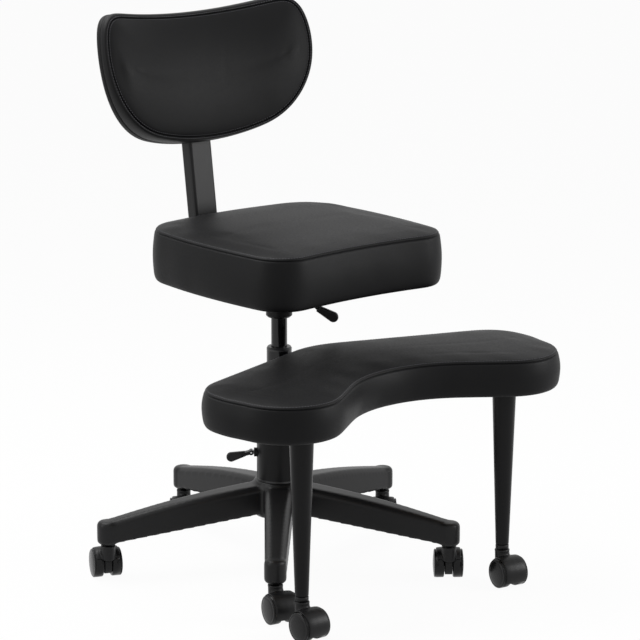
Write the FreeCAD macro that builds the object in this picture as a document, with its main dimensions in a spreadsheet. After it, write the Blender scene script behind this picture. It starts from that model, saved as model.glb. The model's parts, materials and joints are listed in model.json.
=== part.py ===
"""Cross-legged office chair: swivel seat over a swivelling, castor-borne leg rest.

Millimetres.  The origin is on the floor under the column, +Z is up and the seat faces -Y.
Each sub-part is one labelled object of the document, and its sizes are bound to the sheet.
"""
import FreeCAD, Part
import math
import os
import re

import Sketcher

SIZES = {
    # fits shared by the whole chair
    "running_gap": 0.3,
    "pin_fit": 0.15,
    # castors: a hood between two wheels that turn with one axle
    "wheel_diameter": 50.0,
    "wheel_width": 18.0,
    "wheel_gap": 15.0,
    "wheel_edge": 3.5,
    "wheel_dish": 1.5,
    "wheel_cap": 18.0,
    "wheel_web": 5.0,
    "axle_diameter": 6.0,
    "castor_trail": 20.0,
    "hood_gap": 0.6,
    "hood_wall": 2.0,
    "hood_rim": 1.5,
    "hood_reveal": 4.0,
    "hood_skirt": 30.0,
    "hood_brow": 118.0,
    "hood_foot": 9.0,
    "hood_top": 62.0,
    "hood_cap": 12.0,
    "hood_boss_diameter": 25.0,
    "hood_neck": 9.0,
    "hood_crest": 70.0,
    "hood_heel": 20.0,
    "pin_diameter": 8.0,
    "pin_depth": 28.0,
    "stem_diameter": 11.0,
    "stem_flange": 16.0,
    "stem_flange_height": 2.0,
    "socket_diameter": 13.0,
    "socket_depth": 28.0,
    # five-arm base
    "base_radius": 312.0,
    "base_turn": 13.6,
    "hub_diameter": 94.0,
    "hub_bottom": 86.0,
    "hub_top": 157.0,
    "hub_edge": 5.0,
    "arm_root": 30.0,
    "arm_root_width": 50.0,
    "arm_root_low": 94.0,
    "arm_root_high": 150.0,
    "arm_tip_width": 36.0,
    "arm_tip_low": 66.0,
    "arm_tip_high": 99.0,
    "arm_bevel": 9.0,
    "arm_wall": 4.0,
    "tip_diameter": 40.0,
    # gas column
    "column_diameter": 44.0,
    "column_bore": 38.0,
    "column_foot": 80.0,
    "column_floor": 6.0,
    "column_top": 390.0,
    "bush_length": 60.0,
    "bush_cap": 6.0,
    "bearing_height": 8.0,
    "clip_diameter": 20.0,
    "clip_height": 2.0,
    "rod_diameter": 10.0,
    "rod_foot": 73.0,
    "piston_level": 332.0,
    "piston_height": 14.0,
    "cylinder_diameter": 28.0,
    "cylinder_bore": 24.0,
    "cylinder_tip_diameter": 26.6,
    "cylinder_foot": 214.0,
    "cylinder_top": 500.0,
    "cylinder_cap": 18.0,
    "cylinder_sole": 10.0,
    "button_diameter": 8.0,
    "button_rise": 7.5,
    # seat carrier under the seat
    "carrier_low": 449.0,
    "carrier_diameter": 46.0,
    "carrier_edge": 3.0,
    "plate_low": 518.0,
    "plate_thickness": 3.0,
    "plate_width": 190.0,
    "plate_depth": 170.0,
    "plate_flange": 12.0,
    "bolt_diameter": 6.0,
    "bolt_head": 12.0,
    "bolt_head_height": 4.0,
    "seat_bolt_x": 70.0,
    "seat_bolt_y": 62.0,
    # seat lever, bent rod with a teardrop paddle
    "lever_turn": -39.0,
    "lever_level": 511.3,
    "lever_rod": 7.0,
    "lever_inner": 4.0,
    "lever_pivot": 50.0,
    "lever_hub": 12.0,
    "lever_hub_length": 10.0,
    "lever_pin": 5.0,
    "lever_fin": 3.0,
    "lever_fin_margin": 6.5,
    "lever_bend": 8.0,
    "lever_drop": 41.3,
    "lever_droop": 30.0,
    "lever_tail": 16.0,
    "paddle_length": 40.0,
    "paddle_root": 5.5,
    "paddle_end": 9.0,
    "paddle_thickness": 11.0,
    "paddle_edge": 3.0,
    # seat
    "seat_width": 398.0,
    "seat_front": 238.0,
    "seat_rear": 152.0,
    "seat_corner": 82.0,
    "seat_front_dip": 11.0,
    "seat_side_bulge": 7.0,
    "seat_rear_bulge": 9.0,
    "seat_bottom": 520.0,
    "seat_tuck": 8.0,
    "seat_belly": 16.0,
    "seat_seam": 602.0,
    "seat_seam_inset": 4.0,
    "seat_roll": 9.0,
    "seat_roll_inset": 17.0,
    "seat_crown": 15.0,
    "seat_crown_inset": 62.0,
    "cover_inset": 24.0,
    "cover_thickness": 1.0,
    "board_inset": 20.0,
    "board_thickness": 12.0,
    "tee_nut_diameter": 18.0,
    "tee_nut_barrel": 9.0,
    "tee_nut_flange": 1.2,
    "tee_nut_length": 9.0,
    # bar that carries the backrest, with its two cover halves
    "bar_width": 40.0,
    "bar_thickness": 5.0,
    "bar_front": 34.0,
    "bar_lean": 7.8,
    "bar_bend": 30.0,
    "bar_top_bend": 60.0,
    "bar_bolt_first": 50.0,
    "bar_bolt_pitch": 26.0,
    "bar_rise": 150.0,
    "sleeve_width": 50.0,
    "sleeve_depth": 27.0,
    "sleeve_corner": 6.0,
    "sleeve_low": 18.0,
    "sleeve_high": 2.0,
    # backrest, a bent board between a front pad and a rear pad
    "back_front": 196.0,
    "back_level": 738.0,
    "back_tilt": 12.0,
    "back_low_half": 115.0,
    "back_low_rise": 14.0,
    "back_hip_half": 200.0,
    "back_hip_rise": 72.0,
    "back_half_width": 228.0,
    "back_waist_rise": 150.0,
    "back_shoulder_half": 222.0,
    "back_shoulder_rise": 208.0,
    "back_crest_half": 182.0,
    "back_height": 238.0,
    "back_bottom_bulge": 14.0,
    "back_hip_bulge": 9.3,
    "back_side_bulge": 5.7,
    "back_upper_bulge": 2.6,
    "back_crest_bulge": 8.4,
    "back_top_dip": 11.0,
    "back_pad": 26.0,
    "back_board": 10.0,
    "back_rear_pad": 16.0,
    "back_front_sag": 42.0,
    "back_board_sag": 58.0,
    "back_rear_sag": 71.0,
    "back_roll": 5.0,
    "back_board_inset": 10.0,
    "back_screw_first": 40.0,
    "back_screw_pitch": 40.0,
    "screw_head": 11.0,
    "screw_head_height": 3.5,
    # swivel sleeve of the leg rest
    "rest_sleeve_diameter": 80.0,
    "rest_sleeve_wall": 5.0,
    "rest_bush_length": 26.0,
    "rest_plate_low": 345.0,
    "rest_plate_thickness": 5.0,
    "rest_plate_ring": 92.0,
    "rest_plate_neck": 70.0,
    "rest_plate_half": 118.0,
    "rest_plate_shoulder": 165.0,
    "rest_plate_reach": 285.0,
    "washer_height": 3.0,
    # leg rest, a boomerang pad
    "rest_front": 307.0,
    "rest_front_radius": 200.0,
    "rest_lobe_x": 250.0,
    "rest_lobe_y": 318.0,
    "rest_lobe_radius": 95.0,
    "rest_heel_y": 252.0,
    "rest_heel_radius": 78.0,
    "rest_hump": 86.0,
    "rest_hump_radius": 150.0,
    "rest_tuck": 7.0,
    "rest_belly": 13.0,
    "rest_seam": 58.0,
    "rest_seam_inset": 3.0,
    "rest_roll": 6.0,
    "rest_roll_inset": 12.0,
    "rest_crown": 9.0,
    "rest_crown_inset": 40.0,
    "rest_board_inset": 18.0,
    "rest_bolt_x": 85.0,
    "rest_bolt_margin": 23.0,
    "rest_bolt_pitch": 77.0,
    # tapered legs under the leg rest
    "leg_x": 225.0,
    "leg_y": 335.0,
    "leg_foot": 72.0,
    "leg_foot_diameter": 23.0,
    "leg_top_diameter": 41.0,
    "leg_wall": 3.0,
    "leg_plate_diameter": 72.0,
    "leg_plate_thickness": 6.0,
    # swivel lock of the leg rest, a plunger drawn by a small lever
    "lock_turn": 141.0,
    "lock_level": 204.0,
    "lock_boss": 16.0,
    "lock_boss_length": 5.0,
    "lock_plunger": 8.0,
    "lock_tongue": 4.0,
    "lock_pin": 3.0,
    "lock_hub": 9.0,
    "lock_hub_length": 12.0,
    "lock_rod": 6.0,
    "lock_rod_length": 16.0,
    "lock_droop": 14.0,
    "lock_paddle_length": 34.0,
    "lock_paddle_root": 4.5,
    "lock_paddle_end": 8.5,
    "lock_paddle_thickness": 9.0,
}

# tangent directions of the straight runs in the leg rest's outline, in degrees
DERIVED = {
    "rest_front_turn":
        "=(atan2(rest_lobe_y - rest_front - rest_front_radius; rest_lobe_x)"
        " + asin((rest_lobe_radius + rest_front_radius)"
        " / sqrt(rest_lobe_x^2 + (rest_lobe_y - rest_front - rest_front_radius)^2))) / (1 deg)",
    "rest_heel_x": "=rest_lobe_x + rest_lobe_radius - rest_heel_radius",
    "rest_rear_turn":
        "=(atan2(rest_heel_y - rest_hump - rest_hump_radius; rest_heel_x)"
        " + asin((rest_hump_radius - rest_heel_radius)"
        " / sqrt(rest_heel_x^2 + (rest_heel_y - rest_hump - rest_hump_radius)^2))) / (1 deg)",
}

# world headings of the castors' trail, one per arm from the arm at base_turn, then the two legs
BASE_TRAILS = (-129.0, -129.0, 67.0, -102.0, 51.0)
LEG_TRAILS = (-90.0, -99.0)
ARMS = 5
QUARTER_BULGE = "(1 - cos(45))"

V = FreeCAD.Vector
doc = FreeCAD.newDocument("CrossLeggedChair")
sheet = doc.addObject("Spreadsheet::Sheet", "Sizes")
for row, (alias, cell) in enumerate({**SIZES, **DERIVED}.items(), start=1):
    sheet.set(f"A{row}", alias)
    sheet.set(f"B{row}", str(cell))
    sheet.setAlias(f"B{row}", alias)
doc.recompute()

WORD = re.compile(r"[a-z][a-z0-9_]*")
ALIASES = set(SIZES) | set(DERIVED)
NODES = []


def bound(text):
    """The expression text with each alias of the sheet written out in full."""
    return WORD.sub(lambda m: "Sizes." + m.group() if m.group() in ALIASES else m.group(), str(text))


def value(text):
    """The expression's number at the sheet's present sizes."""
    result = sheet.evalExpression(bound(text))
    return float(getattr(result, "Value", result))


def node(obj, label):
    """Names an object as one of the chair's sub-parts."""
    obj.Label = label
    NODES.append(obj)
    return obj


def place(obj, x="0", y="0", z="0", turn=None, axis=V(0, 0, 1)):
    """Binds an object's place and its turn about one axis."""
    if turn is not None:
        obj.Placement = FreeCAD.Placement(V(0, 0, 0), FreeCAD.Rotation(axis, 1.0))
        obj.setExpression("Placement.Rotation.Angle", bound(turn))
    for letter, text in zip("xyz", (x, y, z)):
        obj.setExpression(f"Placement.Base.{letter}", bound(text))
    return obj


def new_body(name):
    return doc.addObject("PartDesign::Body", name)


def new_sketch(body, role="XY_Plane", offset="0"):
    """A sketch on one of the body's own origin planes, moved along the plane's normal."""
    sketch = body.newObject("Sketcher::SketchObject", "Sketch")
    plane = next(p for p in body.Origin.OriginFeatures if p.Role == role)
    sketch.AttachmentSupport = [(plane, "")]
    sketch.MapMode = "FlatFace"
    sketch.setExpression("AttachmentOffset.Base.z", bound(offset))
    return sketch


def bind_all(sketch, constraints, texts):
    """Adds the constraints and ties each one that has an expression to it."""
    for index, text in zip(sketch.addConstraint(constraints), texts):
        if text is not None:
            sketch.setExpression(f"Constraints[{index}]", bound(text))


def outline(sketch, corners, closed=True):
    """Lines and arcs through corners (x, y) or (x, y, bulge).

    A bulge is the height of the arc that leaves that corner, to the right of the way along.
    """
    spots = [V(value(c[0]), value(c[1]), 0) for c in corners]
    count = len(corners) if closed else len(corners) - 1
    first = sketch.GeometryCount
    shapes, ends, constraints, texts = [], [], [], []
    for i in range(count):
        a, b = spots[i], spots[(i + 1) % len(spots)]
        if len(corners[i]) == 2:
            shapes.append(Part.LineSegment(a, b))
            ends.append((1, 2))
            continue
        height = value(corners[i][2])
        chord = b - a
        radius = chord.Length ** 2 / (8 * abs(height)) + abs(height) / 2
        right = V(chord.y, -chord.x, 0) / chord.Length
        centre = (a + b) / 2 + right * (height - math.copysign(radius, height))
        start, stop = (a, b) if height > 0 else (b, a)
        low = math.atan2(start.y - centre.y, start.x - centre.x)
        high = math.atan2(stop.y - centre.y, stop.x - centre.x)
        high += 2 * math.pi if high < low else 0
        shapes.append(Part.ArcOfCircle(Part.Circle(centre, V(0, 0, 1), radius), low, high))
        ends.append((1, 2) if height > 0 else (2, 1))
    sketch.addGeometry(shapes, False)
    for i in range(count if closed else count - 1):
        j = (i + 1) % count
        constraints.append(Sketcher.Constraint("Coincident", first + i, ends[i][1], first + j, ends[j][0]))
        texts.append(None)
    for i, corner in enumerate(corners):
        edge, end = (i, ends[i][0]) if i < count else (i - 1, ends[i - 1][1])
        for kind, text in (("DistanceX", corner[0]), ("DistanceY", corner[1])):
            constraints.append(Sketcher.Constraint(kind, -1, 1, first + edge, end, value(text)))
            texts.append(text)
        if len(corner) == 3:
            after = corners[(i + 1) % len(corners)]
            chord = f"((({after[0]}) - ({corner[0]}))^2 + (({after[1]}) - ({corner[1]}))^2)"
            text = f"{chord} / (8 * abs({corner[2]})) + abs({corner[2]}) / 2"
            constraints.append(Sketcher.Constraint("Radius", first + i, value(text)))
            texts.append(text)
    bind_all(sketch, constraints, texts)
    return sketch


def circles(sketch, radius, centres=(("0", "0"),)):
    """Circles of one radius at the given centres."""
    for x, y in centres:
        ring = sketch.addGeometry(Part.Circle(V(value(x), value(y), 0), V(0, 0, 1), value(radius)), False)
        constraints = [
            Sketcher.Constraint("DistanceX", -1, 1, ring, 3, value(x)),
            Sketcher.Constraint("DistanceY", -1, 1, ring, 3, value(y)),
            Sketcher.Constraint("Radius", ring, value(radius)),
        ]
        bind_all(sketch, constraints, (x, y, radius))
    return sketch


def pad(body, sketch, length, symmetric=False, cut=False, reverse=False):
    """A pad or a pocket of the sketch; symmetric spreads the length to both sides."""
    feature = body.newObject("PartDesign::Pocket" if cut else "PartDesign::Pad", "Cut" if cut else "Pad")
    feature.Profile = sketch
    feature.SideType = "Symmetric" if symmetric else "One side"
    feature.Reversed = reverse
    feature.setExpression("Length", bound(length))
    return feature


def loft(body, sections, cut=False):
    kind = "SubtractiveLoft" if cut else "AdditiveLoft"
    feature = body.newObject(f"PartDesign::{kind}", kind)
    feature.Profile = sections[0]
    feature.Sections = sections[1:]
    return feature


def revolve(body, sketch):
    feature = body.newObject("PartDesign::Revolution", "Revolution")
    feature.Profile = sketch
    feature.ReferenceAxis = (sketch, ["V_Axis"])
    feature.Angle = 360.0
    return feature


def turned(name, profile):
    """A body turned about Z from a closed profile of (radius, height) corners."""
    body = new_body(name)
    revolve(body, outline(new_sketch(body, "XZ_Plane"), profile))
    return body


def ring(name, outer, inner, low, high):
    """A plain turned ring between two diameters and two levels."""
    a, b = f"({inner})/2", f"({outer})/2"
    return turned(name, [(a, low), (b, low), (b, high), (a, high)])


def rod(name, diameter, low, high):
    """A plain round rod on the Z axis."""
    return turned(name, [("0", low), (f"({diameter})/2", low), (f"({diameter})/2", high), ("0", high)])


def group(label, members):
    """One sub-part of several separate like solids."""
    compound = doc.addObject("Part::Compound", label)
    compound.Links = members
    return node(compound, label)


def between(a, b, share):
    return f"({a} + ({b} - {a}) * ({share}))"


def arm_spots():
    """Place expressions of the five arm ends, in the order of BASE_TRAILS."""
    turns = [f"(base_turn + {360 * k // ARMS})" for k in range(ARMS)]
    return [(f"base_radius * cos({t})", f"base_radius * sin({t})") for t in turns]


def leg_spots():
    return [("-leg_x", "-leg_y"), ("leg_x", "-leg_y")]


def star_base():
    body = new_body("star_base")
    bore, rim = "column_diameter/2", "hub_diameter/2"
    hub = outline(new_sketch(body, "XZ_Plane"), [
        (bore, "hub_bottom"),
        (f"{rim} - hub_edge", "hub_bottom"),
        (rim, "hub_bottom + hub_edge"),
        (rim, "hub_top - hub_edge", f"hub_edge*{QUARTER_BULGE}"),
        (f"{rim} - hub_edge", "hub_top"),
        (bore, "hub_top"),
    ])
    revolve(body, hub)

    def arm_at(reach, inset, floor):
        """Bevelled arm section at one reach; the floor is lowered where it cuts the channel."""
        share = f"(({reach}) - arm_root) / (base_radius - arm_root)"
        half = f"({between('arm_root_width', 'arm_tip_width', share)}/2 - {inset})"
        low = f"({between('arm_root_low', 'arm_tip_low', share)} - {floor})"
        high = f"({between('arm_root_high', 'arm_tip_high', share)} - {inset})"
        return outline(new_sketch(body, "YZ_Plane", reach), [
            (f"-{half}", low),
            (half, low),
            (half, f"{high} - arm_bevel"),
            (f"{half} - arm_bevel", high),
            (f"-{half} + arm_bevel", high),
            (f"-{half}", f"{high} - arm_bevel"),
        ])

    arm = loft(body, [arm_at("arm_root", "0", "0"), arm_at("base_radius", "0", "0")])
    tip = circles(new_sketch(body, "XY_Plane", "arm_tip_low"), "tip_diameter/2", [("base_radius", "0")])
    barrel = pad(body, tip, "arm_tip_high - arm_tip_low")
    channel_start, channel_end = "hub_diameter/2 + 2*arm_wall", "base_radius - tip_diameter/2 - arm_wall"
    channel = loft(body, [arm_at(channel_start, "arm_wall", "arm_wall"),
                          arm_at(channel_end, "arm_wall", "arm_wall")], cut=True)
    hole = circles(new_sketch(body, "XY_Plane", "arm_tip_low"), "socket_diameter/2", [("base_radius", "0")])
    socket = pad(body, hole, "socket_depth", cut=True, reverse=True)
    doc.recompute()
    pattern = body.newObject("PartDesign::PolarPattern", "Arms")
    pattern.Originals = [arm, barrel, channel, socket]
    pattern.Axis = (next(p for p in body.Origin.OriginFeatures if p.Role == "Z_Axis"), [""])
    pattern.Angle = 360.0
    pattern.Occurrences = ARMS
    body.Tip = pattern
    return node(place(body, turn="base_turn"), "star_base")


def stem(name, underside):
    """Castor stem: a pin for the hood, a flange under its seat and a shank up into it."""
    pin, shank, flange = "pin_diameter/2", "stem_diameter/2", "stem_flange/2"
    shoulder = "hood_top + running_gap"
    return turned(name, [
        ("0", "hood_top - pin_depth"),
        (pin, "hood_top - pin_depth"),
        (pin, shoulder),
        (shank, shoulder),
        (shank, f"{underside} - stem_flange_height"),
        (flange, f"{underside} - stem_flange_height"),
        (flange, underside),
        (shank, underside),
        (shank, f"{underside} + socket_depth"),
        ("0", f"{underside} + socket_depth"),
    ])


def stems_and_sockets(label, spots, underside):
    """Stems and their steel sockets at each spot, as two groups."""
    stems, sockets = [], []
    for x, y in spots:
        stems.append(place(stem("Stem", underside), x, y))
        sleeve = ring("Socket", "socket_diameter", "stem_diameter", underside, f"{underside} + socket_depth")
        sockets.append(place(sleeve, x, y))
    group(f"{label}_stems", stems)
    group(f"{label}_sockets", sockets)


def castor(number, x, y, trail):
    """A hood that swivels on its stem and wraps the treads, and two wheels on one axle in it."""
    radius, centre = "wheel_diameter/2", "castor_trail"
    inner, outer = f"({radius} + hood_gap)", f"({radius} + hood_gap + hood_wall)"
    web = f"({radius} - hood_rim)"
    chord = f"sqrt({web}^2 - ({radius} - hood_foot)^2)"
    foot_turn = f"(acos({chord}/{web}) / (1 deg))"

    def around(reach, turn):
        """Point on a circle about the axle."""
        return f"{centre} + {reach}*cos({turn})", f"{radius} + {reach}*sin({turn})"

    hood = new_body("Hood")
    side = outline(new_sketch(hood, "XZ_Plane"), [
        (f"{centre} - {chord}", "hood_foot"),
        (f"{centre} + {chord}", "hood_foot"),
        around(outer, "-hood_skirt") + (f"{outer}*(1 - cos((hood_crest + hood_skirt)/2))",),
        around(outer, "hood_crest"),
        ("hood_boss_diameter/2", "hood_top - hood_cap/2"),
        ("-hood_neck", "hood_top - hood_cap/2"),
        ("-hood_neck", f"{radius} + axle_diameter/2"),
        around(f"-{web}", "hood_heel") + (f"{web}*(1 - cos(({foot_turn} - hood_heel)/2))",),
    ])
    pad(hood, side, "wheel_gap - 2*hood_gap", symmetric=True)
    sweep_half = "(hood_brow + hood_skirt)/2"
    fender = outline(new_sketch(hood, "XZ_Plane"), [
        around(outer, "-hood_skirt") + (f"{outer}*(1 - cos({sweep_half}))",),
        around(outer, "hood_brow"),
        around(inner, "hood_brow") + (f"-{inner}*(1 - cos({sweep_half}))",),
        around(inner, "-hood_skirt"),
    ])
    pad(hood, fender, "wheel_gap + 2*wheel_width - 2*hood_reveal", symmetric=True)
    boss = circles(new_sketch(hood, "XY_Plane", "hood_top - hood_cap"), "hood_boss_diameter/2")
    pad(hood, boss, "hood_cap")
    bore = circles(new_sketch(hood, "XY_Plane", "hood_top"), "pin_diameter/2 + pin_fit")
    pad(hood, bore, "pin_depth + running_gap", cut=True)
    eye = circles(new_sketch(hood, "XZ_Plane"), "axle_diameter/2 + pin_fit", [(centre, radius)])
    pad(hood, eye, "2*wheel_gap", symmetric=True, cut=True)
    node(place(hood, x, y, turn=trail), f"castor_hood_{number}")

    hub, width = "(axle_diameter/2 + pin_fit)", "wheel_width"
    face = f"({width} - wheel_dish)"
    profile = [
        (hub, "0"),
        (f"{radius} - wheel_edge", "0", f"wheel_edge*{QUARTER_BULGE}"),
        (radius, "wheel_edge"),
        (radius, f"{width} - wheel_edge", f"wheel_edge*{QUARTER_BULGE}"),
        (f"{radius} - wheel_edge", width),
        (f"{radius} - 2*wheel_edge", width),
        (f"{radius} - 2*wheel_edge - wheel_dish", face),
        ("wheel_cap/2 + wheel_dish", face),
        ("wheel_cap/2", width),
        ("0", width),
        ("0", f"{width} - wheel_web"),
        (hub, f"{width} - wheel_web"),
    ]
    members = []
    for way in (1, -1):
        wheel = turned("Wheel", profile)
        members.append(place(wheel, centre, f"{way}*wheel_gap/2", radius, f"{-90 * way}", V(1, 0, 0)))
    half = f"(wheel_gap/2 + {width} - wheel_web)"
    axle = rod("Axle", "axle_diameter", f"-{half}", half)
    members.append(place(axle, centre, "0", radius, "-90", V(1, 0, 0)))
    place(group(f"castor_wheels_{number}", members), x, y, turn=trail)


def gas_column():
    """Outer tube in the base, guide bush, piston rod on its bearing, and the sliding cylinder."""
    eye = "(rod_diameter/2 + pin_fit)"
    tube, bore = "column_diameter/2", "column_bore/2"
    floor = "column_foot + column_floor"
    node(turned("column_tube", [
        (eye, "column_foot"),
        (tube, "column_foot"),
        (tube, "column_top"),
        (bore, "column_top"),
        (bore, floor),
        (eye, floor),
    ]), "column_tube")
    slide = "(cylinder_diameter/2 + running_gap)"
    node(turned("guide_bush", [
        (slide, "column_top - bush_length"),
        (bore, "column_top - bush_length"),
        (bore, "column_top"),
        (tube, "column_top"),
        (tube, "column_top + bush_cap/2"),
        (f"{tube} - bush_cap/3", "column_top + bush_cap"),
        (slide, "column_top + bush_cap"),
    ]), "guide_bush")
    node(ring("swivel_washer", "rest_sleeve_diameter", "column_diameter", "hub_top",
              "hub_top + washer_height"), "swivel_washer")

    node(turned("piston_rod", [
        ("0", "rod_foot"),
        ("rod_diameter/2", "rod_foot"),
        ("rod_diameter/2", "piston_level"),
        ("cylinder_bore/2 - running_gap", "piston_level"),
        ("cylinder_bore/2 - running_gap", "piston_level + piston_height"),
        ("0", "piston_level + piston_height"),
    ]), "piston_rod")
    seat = f"{floor} + running_gap"
    node(ring("thrust_bearing", "column_bore - 2*running_gap", "rod_diameter", seat,
              f"{seat} + bearing_height"), "thrust_bearing")
    node(ring("retaining_clip", "clip_diameter", "rod_diameter", "column_foot - running_gap - clip_height",
              "column_foot - running_gap"), "retaining_clip")

    wall, inner = "cylinder_diameter/2", "cylinder_bore/2"
    valve = "(button_diameter/2 + pin_fit)"
    node(turned("gas_cylinder", [
        (eye, "cylinder_foot"),
        (wall, "cylinder_foot"),
        (wall, "carrier_low"),
        ("cylinder_tip_diameter/2", "cylinder_top"),
        (valve, "cylinder_top"),
        (valve, "cylinder_top - cylinder_cap"),
        (inner, "cylinder_top - cylinder_cap"),
        (inner, "cylinder_foot + cylinder_sole"),
        (eye, "cylinder_foot + cylinder_sole"),
    ]), "gas_cylinder")
    node(rod("valve_button", "button_diameter", "cylinder_top - cylinder_cap",
             "cylinder_top + button_rise"), "valve_button")


def seat_carrier():
    """Steel channel under the seat, with the tapered socket that takes the cylinder."""
    half, low, top = "plate_width/2", "plate_low", "plate_low + plate_thickness"
    plate = new_body("seat_plate")
    channel = outline(new_sketch(plate, "XZ_Plane"), [
        (f"-{half}", f"{low} - plate_flange"),
        (f"-{half} + plate_thickness", f"{low} - plate_flange"),
        (f"-{half} + plate_thickness", low),
        (f"{half} - plate_thickness", low),
        (f"{half} - plate_thickness", f"{low} - plate_flange"),
        (half, f"{low} - plate_flange"),
        (half, top),
        (f"-{half}", top),
    ])
    pad(plate, channel, "plate_depth", symmetric=True)
    holes = circles(new_sketch(plate, "XY_Plane", top), "bolt_diameter/2", seat_bolts() + bar_bolts())
    pad(plate, holes, "2*plate_thickness", cut=True)
    node(plate, "seat_plate")

    socket = new_body("seat_socket")
    wall, tip = "carrier_diameter/2", "cylinder_tip_diameter/2"
    revolve(socket, outline(new_sketch(socket, "XZ_Plane"), [
        ("cylinder_diameter/2", "carrier_low"),
        (f"{wall} - carrier_edge", "carrier_low"),
        (wall, "carrier_low + carrier_edge"),
        (wall, low),
        (tip, low),
        (tip, "cylinder_top"),
    ]))
    slot_low = "lever_level - lever_hub/2 - running_gap"
    fin_end = "lever_pivot + lever_fin_margin"
    slot = "(lever_hub_length + 2*running_gap)"
    fins = outline(new_sketch(socket, "XZ_Plane"), [
        (f"{wall} - carrier_edge", slot_low),
        (fin_end, slot_low),
        (fin_end, low),
        (f"{wall} - carrier_edge", low),
    ])
    pad(socket, fins, f"{slot} + 2*lever_fin", symmetric=True)
    window = outline(new_sketch(socket, "XZ_Plane"), [
        ("0", slot_low),
        (f"{fin_end} + lever_fin", slot_low),
        (f"{fin_end} + lever_fin", low),
        ("0", low),
    ])
    pad(socket, window, slot, symmetric=True, cut=True)
    eye = circles(new_sketch(socket, "XZ_Plane"), "lever_pin/2", [("lever_pivot", "lever_level")])
    pad(socket, eye, "carrier_diameter", symmetric=True, cut=True)
    node(place(socket, turn="lever_turn"), "seat_socket")

    pin = new_body("lever_pin")
    spot = circles(new_sketch(pin, "XZ_Plane"), "lever_pin/2", [("lever_pivot", "lever_level")])
    pad(pin, spot, f"{slot} + 2*lever_fin", symmetric=True)
    node(place(pin, turn="lever_turn"), "lever_pin")


def seat_bolts():
    return [(f"{sx}*seat_bolt_x", f"{sy}*seat_bolt_y") for sx in (-1, 1) for sy in (-1, 1)]


def bar_bolts():
    return [("0", "bar_bolt_first"), ("0", "bar_bolt_first + bar_bolt_pitch")]


def bolt(head_top, tip):
    """Bolt with its head under one level and its shank up to another."""
    head, shank = "bolt_head/2", "bolt_diameter/2"
    return turned("Bolt", [
        ("0", f"{head_top} - bolt_head_height"),
        (head, f"{head_top} - bolt_head_height"),
        (head, head_top),
        (shank, head_top),
        (shank, tip),
        ("0", tip),
    ])


def slanted(x, z, droop, along, across):
    """Point along and across a line that starts at (x, z) and drops by an angle."""
    return (f"{x} + ({along})*cos({droop}) + ({across})*sin({droop})",
            f"{z} - ({along})*sin({droop}) + ({across})*cos({droop})")


def paddle(label, tool, x, z, droop, sizes, turn):
    """Teardrop paddle with rounded edges, bored for the rod that it is pressed on."""
    length, root, end, thickness = sizes
    body = new_body("Paddle")
    bulge = f"{end}*{QUARTER_BULGE}"
    shape = outline(new_sketch(body, "XZ_Plane"), [
        slanted(x, z, droop, "0", f"-{root}"),
        slanted(x, z, droop, f"{length} - {end}", f"-{end}") + (bulge,),
        slanted(x, z, droop, length, "0") + (bulge,),
        slanted(x, z, droop, f"{length} - {end}", end),
        slanted(x, z, droop, "0", root),
    ])
    blank = pad(body, shape, thickness, symmetric=True)
    doc.recompute()
    faces = [f"Face{i}" for i, face in enumerate(blank.Shape.Faces, 1) if abs(face.normalAt(0, 0).y) > 0.9]
    soft = body.newObject("PartDesign::Fillet", "Fillet")
    soft.Base = (blank, faces)
    soft.setExpression("Radius", bound("paddle_edge"))
    body.Tip = soft
    place(body, turn=turn)
    bored = doc.addObject("Part::Cut", label)
    bored.Base = body
    bored.Tool = tool
    return node(bored, label)


def sweep(body, profile, spine):
    """The profile carried along every edge of the spine sketch."""
    doc.recompute()
    feature = body.newObject("PartDesign::AdditivePipe", "Pipe")
    feature.Profile = profile
    feature.Spine = (spine, [f"Edge{i}" for i in range(1, len(spine.Shape.Edges) + 1)])
    return feature


def seat_lever():
    """Bent rod that presses the valve button, on a pivot under the seat, with its paddle."""
    level, bend, knee = "lever_level", "lever_bend", "lever_pivot + lever_fin_margin + lever_rod"
    swing = "(90 - lever_droop)"
    body = new_body("seat_lever_rod")
    tail_x = f"({knee} + {bend}*(1 - cos({swing})))"
    tail_z = f"({level} - lever_drop - {bend}*sin({swing}))"
    end = slanted(tail_x, tail_z, "lever_droop", "lever_tail", "0")
    spine = outline(new_sketch(body, "XZ_Plane"), [
        ("-lever_inner", level),
        (f"{knee} - {bend}", level, f"-{bend}*{QUARTER_BULGE}"),
        (knee, f"{level} - {bend}"),
        (knee, f"{level} - lever_drop", f"{bend}*(1 - cos({swing}/2))"),
        (tail_x, tail_z),
        end,
    ], closed=False)
    section = circles(new_sketch(body, "YZ_Plane", "-lever_inner"), "lever_rod/2", [("0", level)])
    sweep(body, section, spine)
    hub = circles(new_sketch(body, "XZ_Plane"), "lever_hub/2", [("lever_pivot", level)])
    pad(body, hub, "lever_hub_length", symmetric=True)
    eye = circles(new_sketch(body, "XZ_Plane"), "lever_pin/2 + pin_fit", [("lever_pivot", level)])
    pad(body, eye, "2*lever_hub_length", symmetric=True, cut=True)
    node(place(body, turn="lever_turn"), "seat_lever_rod")
    sizes = ("paddle_length", "paddle_root", "paddle_end", "paddle_thickness")
    paddle("seat_lever_paddle", body, tail_x, tail_z, "lever_droop", sizes, "lever_turn")


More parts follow.
